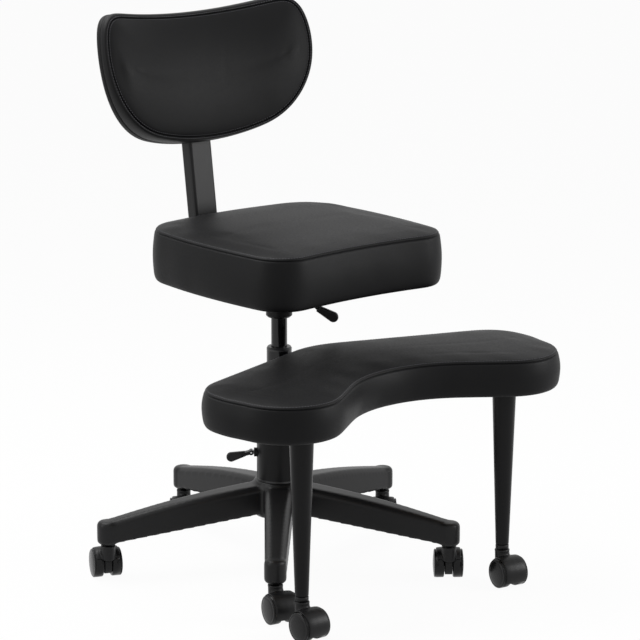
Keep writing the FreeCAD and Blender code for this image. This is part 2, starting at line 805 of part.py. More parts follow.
def seat_outline(inset):
    """Rounded square with bulged sides and a front edge that dips in at its middle."""
    half, front, rear = f"(seat_width/2 - {inset})", f"(seat_front - {inset})", f"(seat_rear - {inset})"
    corner = f"(seat_corner - {inset})"
    turn = f"{corner}*{QUARTER_BULGE}"
    return [
        (f"-{half} + {corner}", f"-{front}", "-seat_front_dip"),
        (f"{half} - {corner}", f"-{front}", turn),
        (half, f"-{front} + {corner}", "seat_side_bulge"),
        (half, f"{rear} - {corner}", turn),
        (f"{half} - {corner}", rear, "seat_rear_bulge"),
        (f"-{half} + {corner}", rear, turn),
        (f"-{half}", f"{rear} - {corner}", "seat_side_bulge"),
        (f"-{half}", f"-{front} + {corner}", turn),
    ]


def slab(name, corners, low, thickness, holes=(), radius=None):
    """A flat sheet with round holes."""
    body = new_body(name)
    pad(body, outline(new_sketch(body, "XY_Plane", low), corners), thickness)
    if holes:
        cut = circles(new_sketch(body, "XY_Plane", f"{low} + {thickness}"), radius, holes)
        pad(body, cut, f"2*({thickness})", cut=True)
    return body


def pad_levels(prefix, bottom, seam):
    """Levels and insets of a pad: tucked in below, upright to its seam, rolled over and domed."""
    levels = [
        (bottom, f"{prefix}_tuck"),
        (f"{bottom} + {prefix}_belly", "0"),
        (f"{seam} - {prefix}_belly", "0"),
        (seam, f"{prefix}_seam_inset"),
    ]
    for share in (0, 0.5, 1):
        rise = between(f"{prefix}_roll", f"{prefix}_crown", 1 - (1 - share) ** 2)
        levels.append((f"{seam} + {rise}", between(f"{prefix}_roll_inset", f"{prefix}_crown_inset", share)))
    return levels


def cushion(label, shape, levels, recess, low, depth):
    """Crowned pad lofted through its outline at each (level, inset), recessed below for its board."""
    body = new_body(label)
    loft(body, [outline(new_sketch(body, "XY_Plane", level), shape(inset)) for level, inset in levels])
    board = outline(new_sketch(body, "XY_Plane", low), shape(recess))
    pad(body, board, depth, cut=True, reverse=True)
    return node(body, label)


def seat():
    """Dust cover, board with tee nuts and bolts, and the cushion drawn down round the board."""
    cover_low = "(plate_low + plate_thickness)"
    board_low = f"({cover_low} + cover_thickness)"
    board_top = f"({board_low} + board_thickness)"
    holes = seat_bolts()
    node(slab("seat_dust_cover", seat_outline("cover_inset"), cover_low, "cover_thickness", holes,
              "bolt_diameter/2 + running_gap"), "seat_dust_cover")
    board = slab("seat_board", seat_outline("board_inset"), board_low, "board_thickness", holes,
                 "tee_nut_barrel/2")
    seats = circles(new_sketch(board, "XY_Plane", board_top), "tee_nut_diameter/2", holes)
    pad(board, seats, "tee_nut_flange", cut=True)
    node(board, "seat_board")
    cushion("seat_cushion", seat_outline, pad_levels("seat", "seat_bottom", "seat_seam"),
            "(board_inset - running_gap)", "seat_bottom", f"{board_top} - seat_bottom")

    nuts, bolts = [], []
    for x, y in holes:
        bolts.append(place(bolt("plate_low", f"{board_top} - tee_nut_flange"), x, y))
        nut = turned("TeeNut", [
            ("bolt_diameter/2", f"{board_top} - tee_nut_length"),
            ("tee_nut_barrel/2", f"{board_top} - tee_nut_length"),
            ("tee_nut_barrel/2", f"{board_top} - tee_nut_flange"),
            ("tee_nut_diameter/2", f"{board_top} - tee_nut_flange"),
            ("tee_nut_diameter/2", board_top),
            ("bolt_diameter/2", board_top),
        ])
        nuts.append(place(nut, x, y))
    group("seat_bolts", bolts)
    group("seat_tee_nuts", nuts)


# the bar's elbow, at the foot of the backrest and behind its board
BAR_DEPTH = "(back_pad + back_board + bar_thickness/2)"
ELBOW_Y = f"(back_front + {BAR_DEPTH}*cos(back_tilt))"
ELBOW_Z = f"(back_level - {BAR_DEPTH}*sin(back_tilt))"


def back_bar():
    """Flat steel bar from under the seat plate up behind the back board, and its cover halves."""
    level = "(plate_low - bar_thickness/2)"
    heel = f"({ELBOW_Y} - ({ELBOW_Z} - {level})*tan(bar_lean))"
    swing = "(90 - bar_lean)"
    reach = f"bar_bend*tan({swing}/2)"
    kink = "(back_tilt - bar_lean)"
    run = f"bar_top_bend*tan({kink}/2)"
    body = new_body("back_bar")
    spine = outline(new_sketch(body, "YZ_Plane"), [
        ("bar_front", level),
        (f"{heel} - {reach}", level, f"bar_bend*(1 - cos({swing}/2))"),
        (f"{heel} + {reach}*sin(bar_lean)", f"{level} + {reach}*cos(bar_lean)"),
        (f"{ELBOW_Y} - {run}*sin(bar_lean)", f"{ELBOW_Z} - {run}*cos(bar_lean)",
         f"-bar_top_bend*(1 - cos({kink}/2))"),
        (f"{ELBOW_Y} + {run}*sin(back_tilt)", f"{ELBOW_Z} + {run}*cos(back_tilt)"),
        (f"{ELBOW_Y} + bar_rise*sin(back_tilt)", f"{ELBOW_Z} + bar_rise*cos(back_tilt)"),
    ], closed=False)
    half = "bar_thickness/2"
    section = outline(new_sketch(body, "XZ_Plane", "-bar_front"), [
        ("-bar_width/2", f"{level} - {half}"),
        ("bar_width/2", f"{level} - {half}"),
        ("bar_width/2", f"{level} + {half}"),
        ("-bar_width/2", f"{level} + {half}"),
    ])
    sweep(body, section, spine)
    holes = circles(new_sketch(body, "XY_Plane", "plate_low"), "bolt_diameter/2", bar_bolts())
    pad(body, holes, "2*bar_thickness", cut=True)
    node(body, "back_bar")
    bolts = [bolt("plate_low - bar_thickness", "plate_low + plate_thickness") for _ in bar_bolts()]
    group("bar_bolts", [place(b, x, y) for b, (x, y) in zip(bolts, bar_bolts())])

    low = f"bar_bend*tan({swing}/2) + sleeve_low"
    high = f"({ELBOW_Z} - {level})/cos(bar_lean) - {run} - sleeve_high"
    wide, deep, corner = "sleeve_width/2", "sleeve_depth/2", "sleeve_corner"
    turn = f"{corner}*{QUARTER_BULGE}"
    slit = f"(bar_width/2 + running_gap)"
    for label, way in (("bar_cover_front", -1), ("bar_cover_rear", 1)):
        cover = new_body(label)
        bed = f"{way}*(bar_thickness/2 + running_gap/2)"
        corners = [
            (f"-{slit}", "0"),
            (f"-{wide}", "0"),
            (f"-{wide}", f"{way}*({deep} - {corner})", f"{-way}*{turn}"),
            (f"-{wide} + {corner}", f"{way}*{deep}"),
            (f"{wide} - {corner}", f"{way}*{deep}", f"{-way}*{turn}"),
            (wide, f"{way}*({deep} - {corner})"),
            (wide, "0"),
            (slit, "0"),
            (slit, bed),
            (f"-{slit}", bed),
        ]
        pad(cover, outline(new_sketch(cover, "XY_Plane", low), corners), f"{high} - ({low})")
        node(place(cover, "0", heel, level, "-bar_lean", V(1, 0, 0)), label)


def back_outline(inset):
    """Wide shield with rounded shoulders, a dipped top edge and a narrower foot."""
    def mirrored(way, half, rise):
        return f"{way}*({half} - {inset})", rise

    foot = f"(back_low_rise + {inset})"
    crest = f"(back_height - {inset})"
    shoulder = f"(back_shoulder_rise - {inset})"
    right = [
        mirrored(1, "back_low_half", foot) + ("back_hip_bulge",),
        mirrored(1, "back_hip_half", "back_hip_rise") + ("back_side_bulge",),
        mirrored(1, "back_half_width", "back_waist_rise") + ("back_upper_bulge",),
        mirrored(1, "back_shoulder_half", shoulder) + ("back_crest_bulge",),
        mirrored(1, "back_crest_half", crest) + ("-back_top_dip",),
    ]
    left = [
        mirrored(-1, "back_crest_half", crest) + ("back_crest_bulge",),
        mirrored(-1, "back_shoulder_half", shoulder) + ("back_upper_bulge",),
        mirrored(-1, "back_half_width", "back_waist_rise") + ("back_side_bulge",),
        mirrored(-1, "back_hip_half", "back_hip_rise") + ("back_hip_bulge",),
        mirrored(-1, "back_low_half", foot) + ("back_bottom_bulge",),
    ]
    return right + left


def curved_layer(label, front, front_sag, rear, rear_sag, inset):
    """Layer of the backrest between two upright cylinders, cut to the shield outline."""
    side = "(back_half_width + back_pad)"

    def full_sag(sag):
        """The same arc's sag over the shell, which is wider than the outline."""
        radius = f"((back_half_width^2 + ({sag})^2) / (2*({sag})))"
        return f"({radius} - sqrt({radius}^2 - {side}^2))"

    near, far = full_sag(front_sag), full_sag(rear_sag)
    shell = new_body("Shell")
    bent = outline(new_sketch(shell, "XY_Plane"), [
        (f"-{side}", f"{front} - {near}", f"-{near}"),
        (side, f"{front} - {near}"),
        (side, f"{rear} - {far}", far),
        (f"-{side}", f"{rear} - {far}"),
    ])
    pad(shell, bent, "3*back_height", symmetric=True)
    blank = new_body("Blank")
    shield = outline(new_sketch(blank, "XZ_Plane"), back_outline(inset))
    pad(blank, shield, "2*back_half_width", symmetric=True)
    layer = doc.addObject("Part::Common", label)
    layer.Base = blank
    layer.Tool = shell
    return layer


def backrest():
    """Front pad, bent board and rear pad, screwed to the bar; the rear pad is slotted for the bar."""
    seat_line, board_line = "back_pad", "(back_pad + back_board)"
    rear_line = f"({board_line} + back_rear_pad)"
    rear_board_sag = "back_board_sag + back_board_sag/8"

    def hang(obj):
        return place(obj, "0", "back_front", "back_level", "-back_tilt", V(1, 0, 0))

    front = curved_layer("FrontPad", "0", "back_front_sag", seat_line, "back_board_sag", "0")
    doc.recompute()
    rolled = doc.addObject("Part::Fillet", "back_cushion")
    rolled.Base = front
    edges = front_edges(front.Shape)
    rolled.Edges = [(i, value("back_roll"), value("back_roll")) for i in edges]
    node(hang(rolled), "back_cushion")
    board = curved_layer("back_board", seat_line, "back_board_sag", board_line, rear_board_sag,
                         "back_board_inset")
    node(hang(board), "back_board")

    pad_blank = curved_layer("RearPad", board_line, rear_board_sag, rear_line, "back_rear_sag", "0")
    slot = new_body("Slot")
    half = "(bar_width/2 + running_gap)"
    head = "(screw_head/2 + running_gap)"
    bed = f"({board_line} + bar_thickness + running_gap)"
    mouth = outline(new_sketch(slot, "XY_Plane", "-back_height/4"), [
        (f"-{half}", f"{board_line} - back_board/2"),
        (half, f"{board_line} - back_board/2"),
        (half, bed),
        (head, bed),
        (head, f"{bed} + screw_head_height + running_gap"),
        (f"-{head}", f"{bed} + screw_head_height + running_gap"),
        (f"-{head}", bed),
        (f"-{half}", bed),
    ])
    pad(slot, mouth, "back_height/4 + bar_rise + bar_thickness")
    slotted = doc.addObject("Part::Cut", "back_rear_pad")
    slotted.Base = pad_blank
    slotted.Tool = slot
    node(hang(slotted), "back_rear_pad")

    screws = []
    for k in range(3):
        under = f"({board_line} + bar_thickness)"
        screw = turned("Screw", [
            ("0", under),
            ("screw_head/2", under),
            ("screw_head/2", f"{under} + screw_head_height"),
            ("0", f"{under} + screw_head_height"),
        ])
        screws.append(place(screw, "0", "0", f"back_screw_first + {k}*back_screw_pitch", "-90", V(1, 0, 0)))
    hang(group("back_screws", screws))


def front_edges(shape):
    """Numbers of the edges round a layer's front face."""
    middle = shape.BoundBox.Center.y
    face = max(shape.Faces, key=lambda f: f.Area if f.CenterOfMass.y < middle else 0)
    rim = [edge.hashCode() for edge in face.Edges]
    return [i for i, edge in enumerate(shape.Edges, 1) if edge.hashCode() in rim]


def rest_outline(inset):
    """Boomerang: a hollow front between two round lobes, and a hump towards the column."""
    front, rear = "rest_front_turn", "rest_rear_turn"
    hollow, lobe = f"(rest_front_radius + {inset})", f"(rest_lobe_radius - {inset})"
    heel, hump = f"(rest_heel_radius - {inset})", f"(rest_hump_radius - {inset})"
    front_x = f"{hollow}*sin({front})"
    front_y = f"-(rest_front + rest_front_radius - {hollow}*cos({front}))"
    hump_x = f"{hump}*sin({rear})"
    hump_y = f"-(rest_hump + rest_hump_radius - {hump}*cos({rear}))"
    toe_bulge = f"{lobe}*(1 - cos((90 + {front})/2))"
    heel_bulge = f"{heel}*(1 - cos((90 - {rear})/2))"

    def lobe_corners(way):
        """Corners of one lobe from the front run to the rear run."""
        return [
            (f"{way}*(rest_lobe_x - {lobe}*sin({front}))", f"-(rest_lobe_y + {lobe}*cos({front}))"),
            (f"{way}*(rest_lobe_x + {lobe})", "-rest_lobe_y"),
            (f"{way}*(rest_heel_x + {heel})", "-rest_heel_y"),
            (f"{way}*(rest_heel_x + {heel}*sin({rear}))", f"-(rest_heel_y - {heel}*cos({rear}))"),
        ]

    toe, side, back, run = lobe_corners(1)
    toe_left, side_left, back_left, run_left = lobe_corners(-1)
    return [
        (f"-{front_x}", front_y, f"-{hollow}*(1 - cos({front}))"),
        (front_x, front_y),
        toe + (toe_bulge,),
        side,
        back + (heel_bulge,),
        run,
        (hump_x, hump_y, f"{hump}*(1 - cos({rear}))"),
        (f"-{hump_x}", hump_y),
        run_left + (heel_bulge,),
        back_left,
        side_left + (toe_bulge,),
        toe_left,
    ]


def rest_bolts():
    far = "(rest_plate_reach - rest_bolt_margin)"
    reaches = (f"-({far} - rest_bolt_pitch)", f"-{far}")
    return [(f"{way}*rest_bolt_x", reach) for way in (-1, 1) for reach in reaches]


def leg_rest():
    """Swivel sleeve with its bushes, bracket plate, board and boomerang cushion."""
    sleeve_low = "(hub_top + washer_height + running_gap)"
    bore = "(rest_sleeve_diameter - 2*rest_sleeve_wall)"
    run = "(column_diameter + 2*running_gap)"
    sleeve = ring("swivel_sleeve", "rest_sleeve_diameter", bore, sleeve_low, "rest_plate_low")
    boss = circles(new_sketch(sleeve, "YZ_Plane", "rest_sleeve_diameter/2 - rest_sleeve_wall/2"),
                   "lock_boss/2", [("0", "lock_level")])
    pad(sleeve, boss, "rest_sleeve_wall/2 + lock_boss_length")
    eye = circles(new_sketch(sleeve, "YZ_Plane", "rest_sleeve_diameter/2 + lock_boss_length"),
                  "lock_plunger/2 + pin_fit", [("0", "lock_level")])
    pad(sleeve, eye, "2*rest_sleeve_wall + lock_boss_length", cut=True)
    node(place(sleeve, turn="lock_turn"), "swivel_sleeve")
    group("sleeve_bushes", [
        ring("Bush", bore, run, sleeve_low, f"{sleeve_low} + rest_bush_length"),
        ring("Bush", bore, run, "rest_plate_low - rest_bush_length", "rest_plate_low"),
    ])

    ring_half = "rest_plate_ring/2"
    corners = [
        ("-rest_plate_half", "-rest_plate_reach"),
        ("rest_plate_half", "-rest_plate_reach"),
        ("rest_plate_half", "-rest_plate_shoulder"),
        ("rest_plate_neck/2", "-rest_hump"),
        (ring_half, "0", f"{ring_half}*{QUARTER_BULGE}"),
        ("0", ring_half, f"{ring_half}*{QUARTER_BULGE}"),
        (f"-{ring_half}", "0"),
        ("-rest_plate_neck/2", "-rest_hump"),
        ("-rest_plate_half", "-rest_plate_shoulder"),
    ]
    plate = slab("leg_rest_plate", corners, "rest_plate_low", "rest_plate_thickness", rest_bolts(),
                 "bolt_diameter/2")
    top = "(rest_plate_low + rest_plate_thickness)"
    eye = circles(new_sketch(plate, "XY_Plane", top), f"{run}/2")
    pad(plate, eye, "2*rest_plate_thickness", cut=True)
    node(plate, "leg_rest_plate")

    board_top = f"({top} + board_thickness)"
    board = slab("leg_rest_board", rest_outline("rest_board_inset"), top, "board_thickness", rest_bolts(),
                 "bolt_diameter/2")
    node(board, "leg_rest_board")
    cushion("leg_rest_cushion", rest_outline, pad_levels("rest", top, f"({top} + rest_seam)"),
            "(rest_board_inset - running_gap)", top, "board_thickness")
    bolts = [place(bolt("rest_plate_low", board_top), x, y) for x, y in rest_bolts()]
    group("leg_rest_bolts", bolts)


def legs():
    """Two tapered tube legs on round plates under the leg rest's board."""
    plate_low = "(rest_plate_low + rest_plate_thickness - leg_plate_thickness)"
    foot, top, bore = "leg_foot_diameter/2", "leg_top_diameter/2", "socket_diameter/2"
    plates = []
    for label, (x, y) in zip(("leg_left", "leg_right"), leg_spots()):
        leg = turned(label, [
            (bore, "leg_foot"),
            (foot, "leg_foot"),
            (top, plate_low),
            (f"{top} - leg_wall", plate_low),
            (bore, "leg_foot + socket_depth"),
        ])
        node(place(leg, x, y), label)
        plate = rod("Plate", "leg_plate_diameter", plate_low, f"{plate_low} + leg_plate_thickness")
        plates.append(place(plate, x, y))
    group("leg_plates", plates)


def swivel_lock():
    """Plunger that bears on the column, drawn out by a hinged lever with a paddle."""
    face = "(rest_sleeve_diameter/2 + lock_boss_length)"
    hinge = f"({face} + running_gap + lock_hub/2)"
    shank = "lock_plunger/2"
    plunger = turned("Plunger", [
        ("0", "column_diameter/2 + running_gap"),
        (shank, "column_diameter/2 + running_gap"),
        (shank, face),
        ("0", face),
    ])
    place(plunger, "0", "0", "lock_level", "90", V(0, 1, 0))
    tongue = new_body("Tongue")
    flat = outline(new_sketch(tongue, "XZ_Plane"), [
        (face, f"lock_level - {shank}"),
        (hinge, f"lock_level - {shank}", f"{shank}*{QUARTER_BULGE}"),
        (f"{hinge} + {shank}", "lock_level", f"{shank}*{QUARTER_BULGE}"),
        (hinge, f"lock_level + {shank}"),
        (face, f"lock_level + {shank}"),
    ])
    pad(tongue, flat, "lock_tongue", symmetric=True)
    eye = circles(new_sketch(tongue, "XZ_Plane"), "lock_pin/2", [(hinge, "lock_level")])
    pad(tongue, eye, "2*lock_tongue", symmetric=True, cut=True)
    joined = doc.addObject("Part::Fuse", "lock_plunger")
    joined.Base = plunger
    joined.Tool = tongue
    node(place(joined, turn="lock_turn"), "lock_plunger")
    pin = new_body("lock_pin")
    spot = circles(new_sketch(pin, "XZ_Plane"), "lock_pin/2", [(hinge, "lock_level")])
    pad(pin, spot, "lock_hub_length", symmetric=True)
    node(place(pin, turn="lock_turn"), "lock_pin")

    lever = new_body("lock_lever_rod")
    hub = circles(new_sketch(lever, "XZ_Plane"), "lock_hub/2", [(hinge, "lock_level")])
    pad(lever, hub, "lock_hub_length", symmetric=True)
    root = slanted(hinge, "lock_level", "lock_droop", "lock_hub/4", "0")
    end = slanted(hinge, "lock_level", "lock_droop", "lock_hub/4 + lock_rod_length", "0")
    half = "lock_rod/2"
    arm = outline(new_sketch(lever, "XZ_Plane"), [
        slanted(*root, "lock_droop", "0", f"-{half}"),
        slanted(*end, "lock_droop", "0", f"-{half}"),
        slanted(*end, "lock_droop", "0", half),
        slanted(*root, "lock_droop", "0", half),
    ])
    pad(lever, arm, "lock_hub_length", symmetric=True)
    slit = outline(new_sketch(lever, "XZ_Plane"), [
        (f"{hinge} - lock_hub", "lock_level - lock_hub"),
        (f"{hinge} + lock_hub/2 + running_gap", "lock_level - lock_hub"),
        (f"{hinge} + lock_hub/2 + running_gap", "lock_level + lock_hub"),
        (f"{hinge} - lock_hub", "lock_level + lock_hub"),
    ])
    pad(lever, slit, "lock_tongue + 2*running_gap", symmetric=True, cut=True)
    eye = circles(new_sketch(lever, "XZ_Plane"), "lock_pin/2 + pin_fit", [(hinge, "lock_level")])
    pad(lever, eye, "2*lock_hub_length", symmetric=True, cut=True)
    node(place(lever, turn="lock_turn"), "lock_lever_rod")
    start = slanted(hinge, "lock_level", "lock_droop", "lock_hub/2 + running_gap + lock_rod", "0")
    sizes = ("lock_paddle_length", "lock_paddle_root", "lock_paddle_end", "lock_paddle_thickness")
    paddle("lock_lever_paddle", lever, *start, "lock_droop", sizes, "lock_turn")


def write_parts():
    """Checks every object, then writes each sub-part to its own file."""
    doc.recompute()
    for obj in doc.Objects:
        if {"Invalid", "Error"} & set(obj.State):
            raise RuntimeError(f"{obj.Name} ({obj.Label}) did not recompute: {obj.State}")
    for obj in NODES:
        if obj.Shape.isNull() or not obj.Shape.isValid() or not obj.Shape.Solids:
            raise RuntimeError(f"{obj.Label} has no valid solid")
    os.makedirs("parts", exist_ok=True)
    for obj in NODES:
        obj.Shape.exportStep(f"parts/{obj.Label}.step")
        print(f"{obj.Label}: {len(obj.Shape.Solids)} solids, {obj.Shape.Volume / 1000:.1f} cm3")


star_base()
stems_and_sockets("base", arm_spots(), "arm_tip_low")
gas_column()
seat_carrier()
seat_lever()
seat()
back_bar()
backrest()
leg_rest()
legs()
stems_and_sockets("leg", leg_spots(), "leg_foot")
swivel_lock()
for number, (spot, trail) in enumerate(zip(arm_spots() + leg_spots(), BASE_TRAILS + LEG_TRAILS), start=1):
    castor(number, *spot, str(trail))
write_parts()
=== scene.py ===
# %% [markdown]
# # A cross-legged office chair
# The frame of this chair comes from CAD: its column, legs, plates, levers and bolts are already the right
# size and place. What CAD leaves plain is built here: the upholstered pads, the moulded base and the castors.
# Everything is worked out in millimetres, in the CAD frame, and turned to metres when it becomes a mesh.

# %% Load the frame
import json
import bmesh
import bpy
import numpy as np
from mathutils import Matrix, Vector


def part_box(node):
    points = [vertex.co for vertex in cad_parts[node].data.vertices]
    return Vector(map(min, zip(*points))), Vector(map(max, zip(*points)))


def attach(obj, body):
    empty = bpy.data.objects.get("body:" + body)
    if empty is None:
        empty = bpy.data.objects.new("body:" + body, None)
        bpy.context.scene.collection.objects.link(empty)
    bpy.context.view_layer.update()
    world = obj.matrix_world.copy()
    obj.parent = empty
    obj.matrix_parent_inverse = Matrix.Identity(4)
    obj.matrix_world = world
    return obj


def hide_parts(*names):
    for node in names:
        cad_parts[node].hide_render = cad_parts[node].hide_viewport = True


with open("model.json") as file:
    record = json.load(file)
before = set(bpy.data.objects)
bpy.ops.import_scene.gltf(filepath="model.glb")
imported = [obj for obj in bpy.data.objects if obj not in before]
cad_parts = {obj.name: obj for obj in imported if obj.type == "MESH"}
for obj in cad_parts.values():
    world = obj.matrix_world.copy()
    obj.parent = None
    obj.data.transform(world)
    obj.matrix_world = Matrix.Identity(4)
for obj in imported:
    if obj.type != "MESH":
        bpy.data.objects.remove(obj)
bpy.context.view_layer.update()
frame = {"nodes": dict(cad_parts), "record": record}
MM = 0.001


def node_box(node):
    """Lowest and highest corner of a CAD node, in millimetres."""
    return [np.array(corner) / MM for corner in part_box(node)]


# %% [markdown]
# ## Materials
# A finish starts from what the real material is. One function turns an sRGB hex colour to linear light, and
# one function adds a node. Patterns read Object coordinates, which are metres here, so a texture's scale is
# one divided by the size of its grain in metres. The studio is white all round and a black surface mirrors it
# from every side, so the black finishes have a Specular IOR Level under the usual 0.5.

# %% Colour, node and material helpers
def linear(hex_colour):
    """Linear RGBA of an sRGB hex colour."""
    srgb = np.array([int(hex_colour[i:i + 2], 16) for i in (1, 3, 5)]) / 255
    rgb = np.where(srgb <= 0.04045, srgb / 12.92, ((srgb + 0.055) / 1.055) ** 2.4)
    return (*rgb, 1.0)


def add(tree, kind, settings, inputs):
    """Add a node with its settings; each input is a value for that socket or an output to link to it."""
    node = tree.nodes.new(kind)
    for name, setting in settings.items():
        setattr(node, name, setting)
    for name, given in inputs.items():
        if isinstance(given, bpy.types.NodeSocket):
            tree.links.new(given, node.inputs[name])
        else:
            node.inputs[name].default_value = given
    return node


NOISE, CELLS = "ShaderNodeTexNoise", "ShaderNodeTexVoronoi"


def finish(name, dark, light, patch_mm, rough, rough_grain_mm, bumps, constants):
    """A Principled material with mottled colour, uneven roughness and one bump for each grain.

    Colour goes from dark to light over patches of patch_mm, roughness between the two values of rough over
    grains of rough_grain_mm. A bump is (pattern node, its output, grain in mm, height in mm), and bumps add
    up in a chain.
    """
    material = bpy.data.materials.new(name)
    material.use_nodes = True
    tree = material.node_tree
    shader = tree.nodes["Principled BSDF"]
    place = add(tree, "ShaderNodeTexCoord", {}, {}).outputs["Object"]
    patches = add(tree, NOISE, {}, {"Vector": place, "Scale": 1 / (patch_mm * MM), "Detail": 3.0})
    colour = add(tree, "ShaderNodeMix", {"data_type": "RGBA"},
                 {"Factor": patches.outputs["Fac"], 6: linear(dark), 7: linear(light)})
    tree.links.new(colour.outputs[2], shader.inputs["Base Color"])
    grain = add(tree, NOISE, {}, {"Vector": place, "Scale": 1 / (rough_grain_mm * MM)})
    uneven = add(tree, "ShaderNodeMapRange", {},
                 {"Value": grain.outputs["Fac"], "From Min": 0.3, "From Max": 0.7,
                  "To Min": rough[0], "To Max": rough[1]})
    tree.links.new(uneven.outputs["Result"], shader.inputs["Roughness"])
    normal = None
    for kind, output, grain_mm, height_mm in bumps:
        pattern = add(tree, kind, {}, {"Vector": place, "Scale": 1 / (grain_mm * MM)})
        links = {"Height": pattern.outputs[output], "Strength": 1.0, "Distance": height_mm * MM}
        if normal is not None:
            links["Normal"] = normal
        normal = add(tree, "ShaderNodeBump", {}, links).outputs["Normal"]
    tree.links.new(normal, shader.inputs["Normal"])
    for socket, constant in constants.items():
        shader.inputs[socket].default_value = constant
    return material


# %% [markdown]
# PU leathercloth is a polyurethane skin, embossed with a pebble grain of about a millimetre, on knitted
# backing. It gives a broad, soft grey highlight and nearly black sides. The pebbles are drawn at 1.6 mm, a
# little coarse, because finer ones would be lost in the render.

# %% Upholstery materials
leather = finish(
    "pu_leathercloth_black", "#0c0c0d", "#111112", 90, (0.46, 0.54), 3.0,
    [(CELLS, "Distance", 1.6, 0.05), (NOISE, "Fac", 60.0, 0.15)], {"IOR": 1.5, "Specular IOR Level": 0.12})
# spun polyester thread: matt, paler than the hide, with a fine twist
thread = finish(
    "polyester_thread_grey", "#36363a", "#48484c", 4, (0.55, 0.7), 0.6,
    [(NOISE, "Fac", 0.5, 0.05)], {"IOR": 1.5})
# spun-bonded polypropylene under the seat: felted fibres about a millimetre apart
dust_cloth = finish(
    "nonwoven_cloth_black", "#121212", "#1d1d1e", 3, (0.8, 0.95), 1.2,
    [(NOISE, "Fac", 0.9, 0.12)], {"IOR": 1.45, "Sheen Weight": 0.15})
print("upholstery:", leather.name, thread.name, dust_cloth.name)

# %% [markdown]
# The base, hoods and handles are glass-filled nylon, moulded with a fine spark texture. The wheels come from
# a polished mould, so they shine more. Tubes and plates are steel under a satin powder coat with a slight
# orange peel, and the gas spring has a smooth gloss enamel. Bare metal keeps the default index of refraction.

# %% Plastic, paint and metal materials
moulded_nylon = finish(
    "moulded_nylon_black", "#0e0e0f", "#141415", 60, (0.34, 0.44), 1.0,
    [(NOISE, "Fac", 0.8, 0.03)], {"IOR": 1.5, "Specular IOR Level": 0.22})
castor_nylon = finish(
    "castor_nylon_black", "#0d0d0e", "#131314", 30, (0.2, 0.28), 2.0,
    [(NOISE, "Fac", 4.0, 0.03)], {"IOR": 1.5, "Specular IOR Level": 0.2})
# acetal bushes: smooth from the mould, dark grey and a little waxy
acetal = finish(
    "acetal_black", "#19191a", "#202022", 20, (0.3, 0.4), 1.5,
    [(NOISE, "Fac", 1.2, 0.02)], {"IOR": 1.48})
powder_coat = finish(
    "powder_coat_black", "#0c0c0d", "#111112", 80, (0.28, 0.36), 2.5,
    [(NOISE, "Fac", 1.6, 0.03)], {"IOR": 1.5, "Specular IOR Level": 0.14})
gloss_enamel = finish(
    "gloss_enamel_black", "#080809", "#0c0c0d", 80, (0.12, 0.18), 6.0,
    [(NOISE, "Fac", 5.0, 0.01)], {"IOR": 1.5, "Specular IOR Level": 0.35})
# blackened steel: a dark satin metal
black_oxide = finish(
    "black_oxide_steel", "#2a2a2b", "#353536", 5, (0.3, 0.4), 0.8,
    [(NOISE, "Fac", 0.6, 0.01)], {"Metallic": 1.0})
# turned steel: pale grey, with clear but uneven reflections
bright_steel = finish(
    "turned_steel", "#a3a4a6", "#b9babc", 6, (0.2, 0.32), 0.7,
    [(NOISE, "Fac", 0.5, 0.01)], {"Metallic": 1.0})
# zinc plating: pale grey and duller, with a faint spangle of crystals
zinc_plate = finish(
    "zinc_plated_steel", "#92958f", "#a9aba8", 8, (0.32, 0.46), 1.5,
    [(CELLS, "Distance", 2.0, 0.01)], {"Metallic": 1.0})
print("plastic:", moulded_nylon.name, castor_nylon.name, acetal.name)
print("paint and metal:", powder_coat.name, gloss_enamel.name, black_oxide.name, bright_steel.name, zinc_plate.name)


# %% [markdown]
# Plywood shows on the underside of the leg rest. Its face veneer is cut from the log in one turning sheet, so
# the grain runs in long wavy bands. A noise that is stretched along X draws them.

# %% Plywood
def veneer(name, pale, dark, band_mm, stretch):
    """Wood whose grain is noise of band_mm across the sheet, drawn out by stretch along X."""
    material = bpy.data.materials.new(name)
    material.use_nodes = True
    tree = material.node_tree
    shader = tree.nodes["Principled BSDF"]
    place = add(tree, "ShaderNodeTexCoord", {}, {}).outputs["Object"]
    along = add(tree, "ShaderNodeMapping", {}, {"Vector": place, "Scale": (1 / stretch, 1.0, 1.0)})
    grain = add(tree, NOISE, {}, {"Vector": along.outputs["Vector"], "Scale": 1 / (band_mm * MM),
                                  "Detail": 6.0, "Distortion": 0.6})
    colour = add(tree, "ShaderNodeMix", {"data_type": "RGBA"},
                 {"Factor": grain.outputs["Fac"], 6: linear(pale), 7: linear(dark)})
    tree.links.new(colour.outputs[2], shader.inputs["Base Color"])
    relief = add(tree, "ShaderNodeBump", {}, {"Height": grain.outputs["Fac"], "Strength": 0.6,
                                             "Distance": 0.1 * MM})
    tree.links.new(relief.outputs["Normal"], shader.inputs["Normal"])
    shader.inputs["Roughness"].default_value = 0.62
    shader.inputs["IOR"].default_value = 1.5
    return material


plywood = veneer("birch_plywood", "#c9a878", "#a07d4f", band_mm=7.0, stretch=14.0)
print("wood:", plywood.name)

# %% [markdown]
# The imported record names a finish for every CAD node. A table gives each of those names its material here,
# and a shorter table names the nodes that differ: the gas spring's two tubes are glossier, the lever rods are
# painted, and the castor stems are blackened steel.

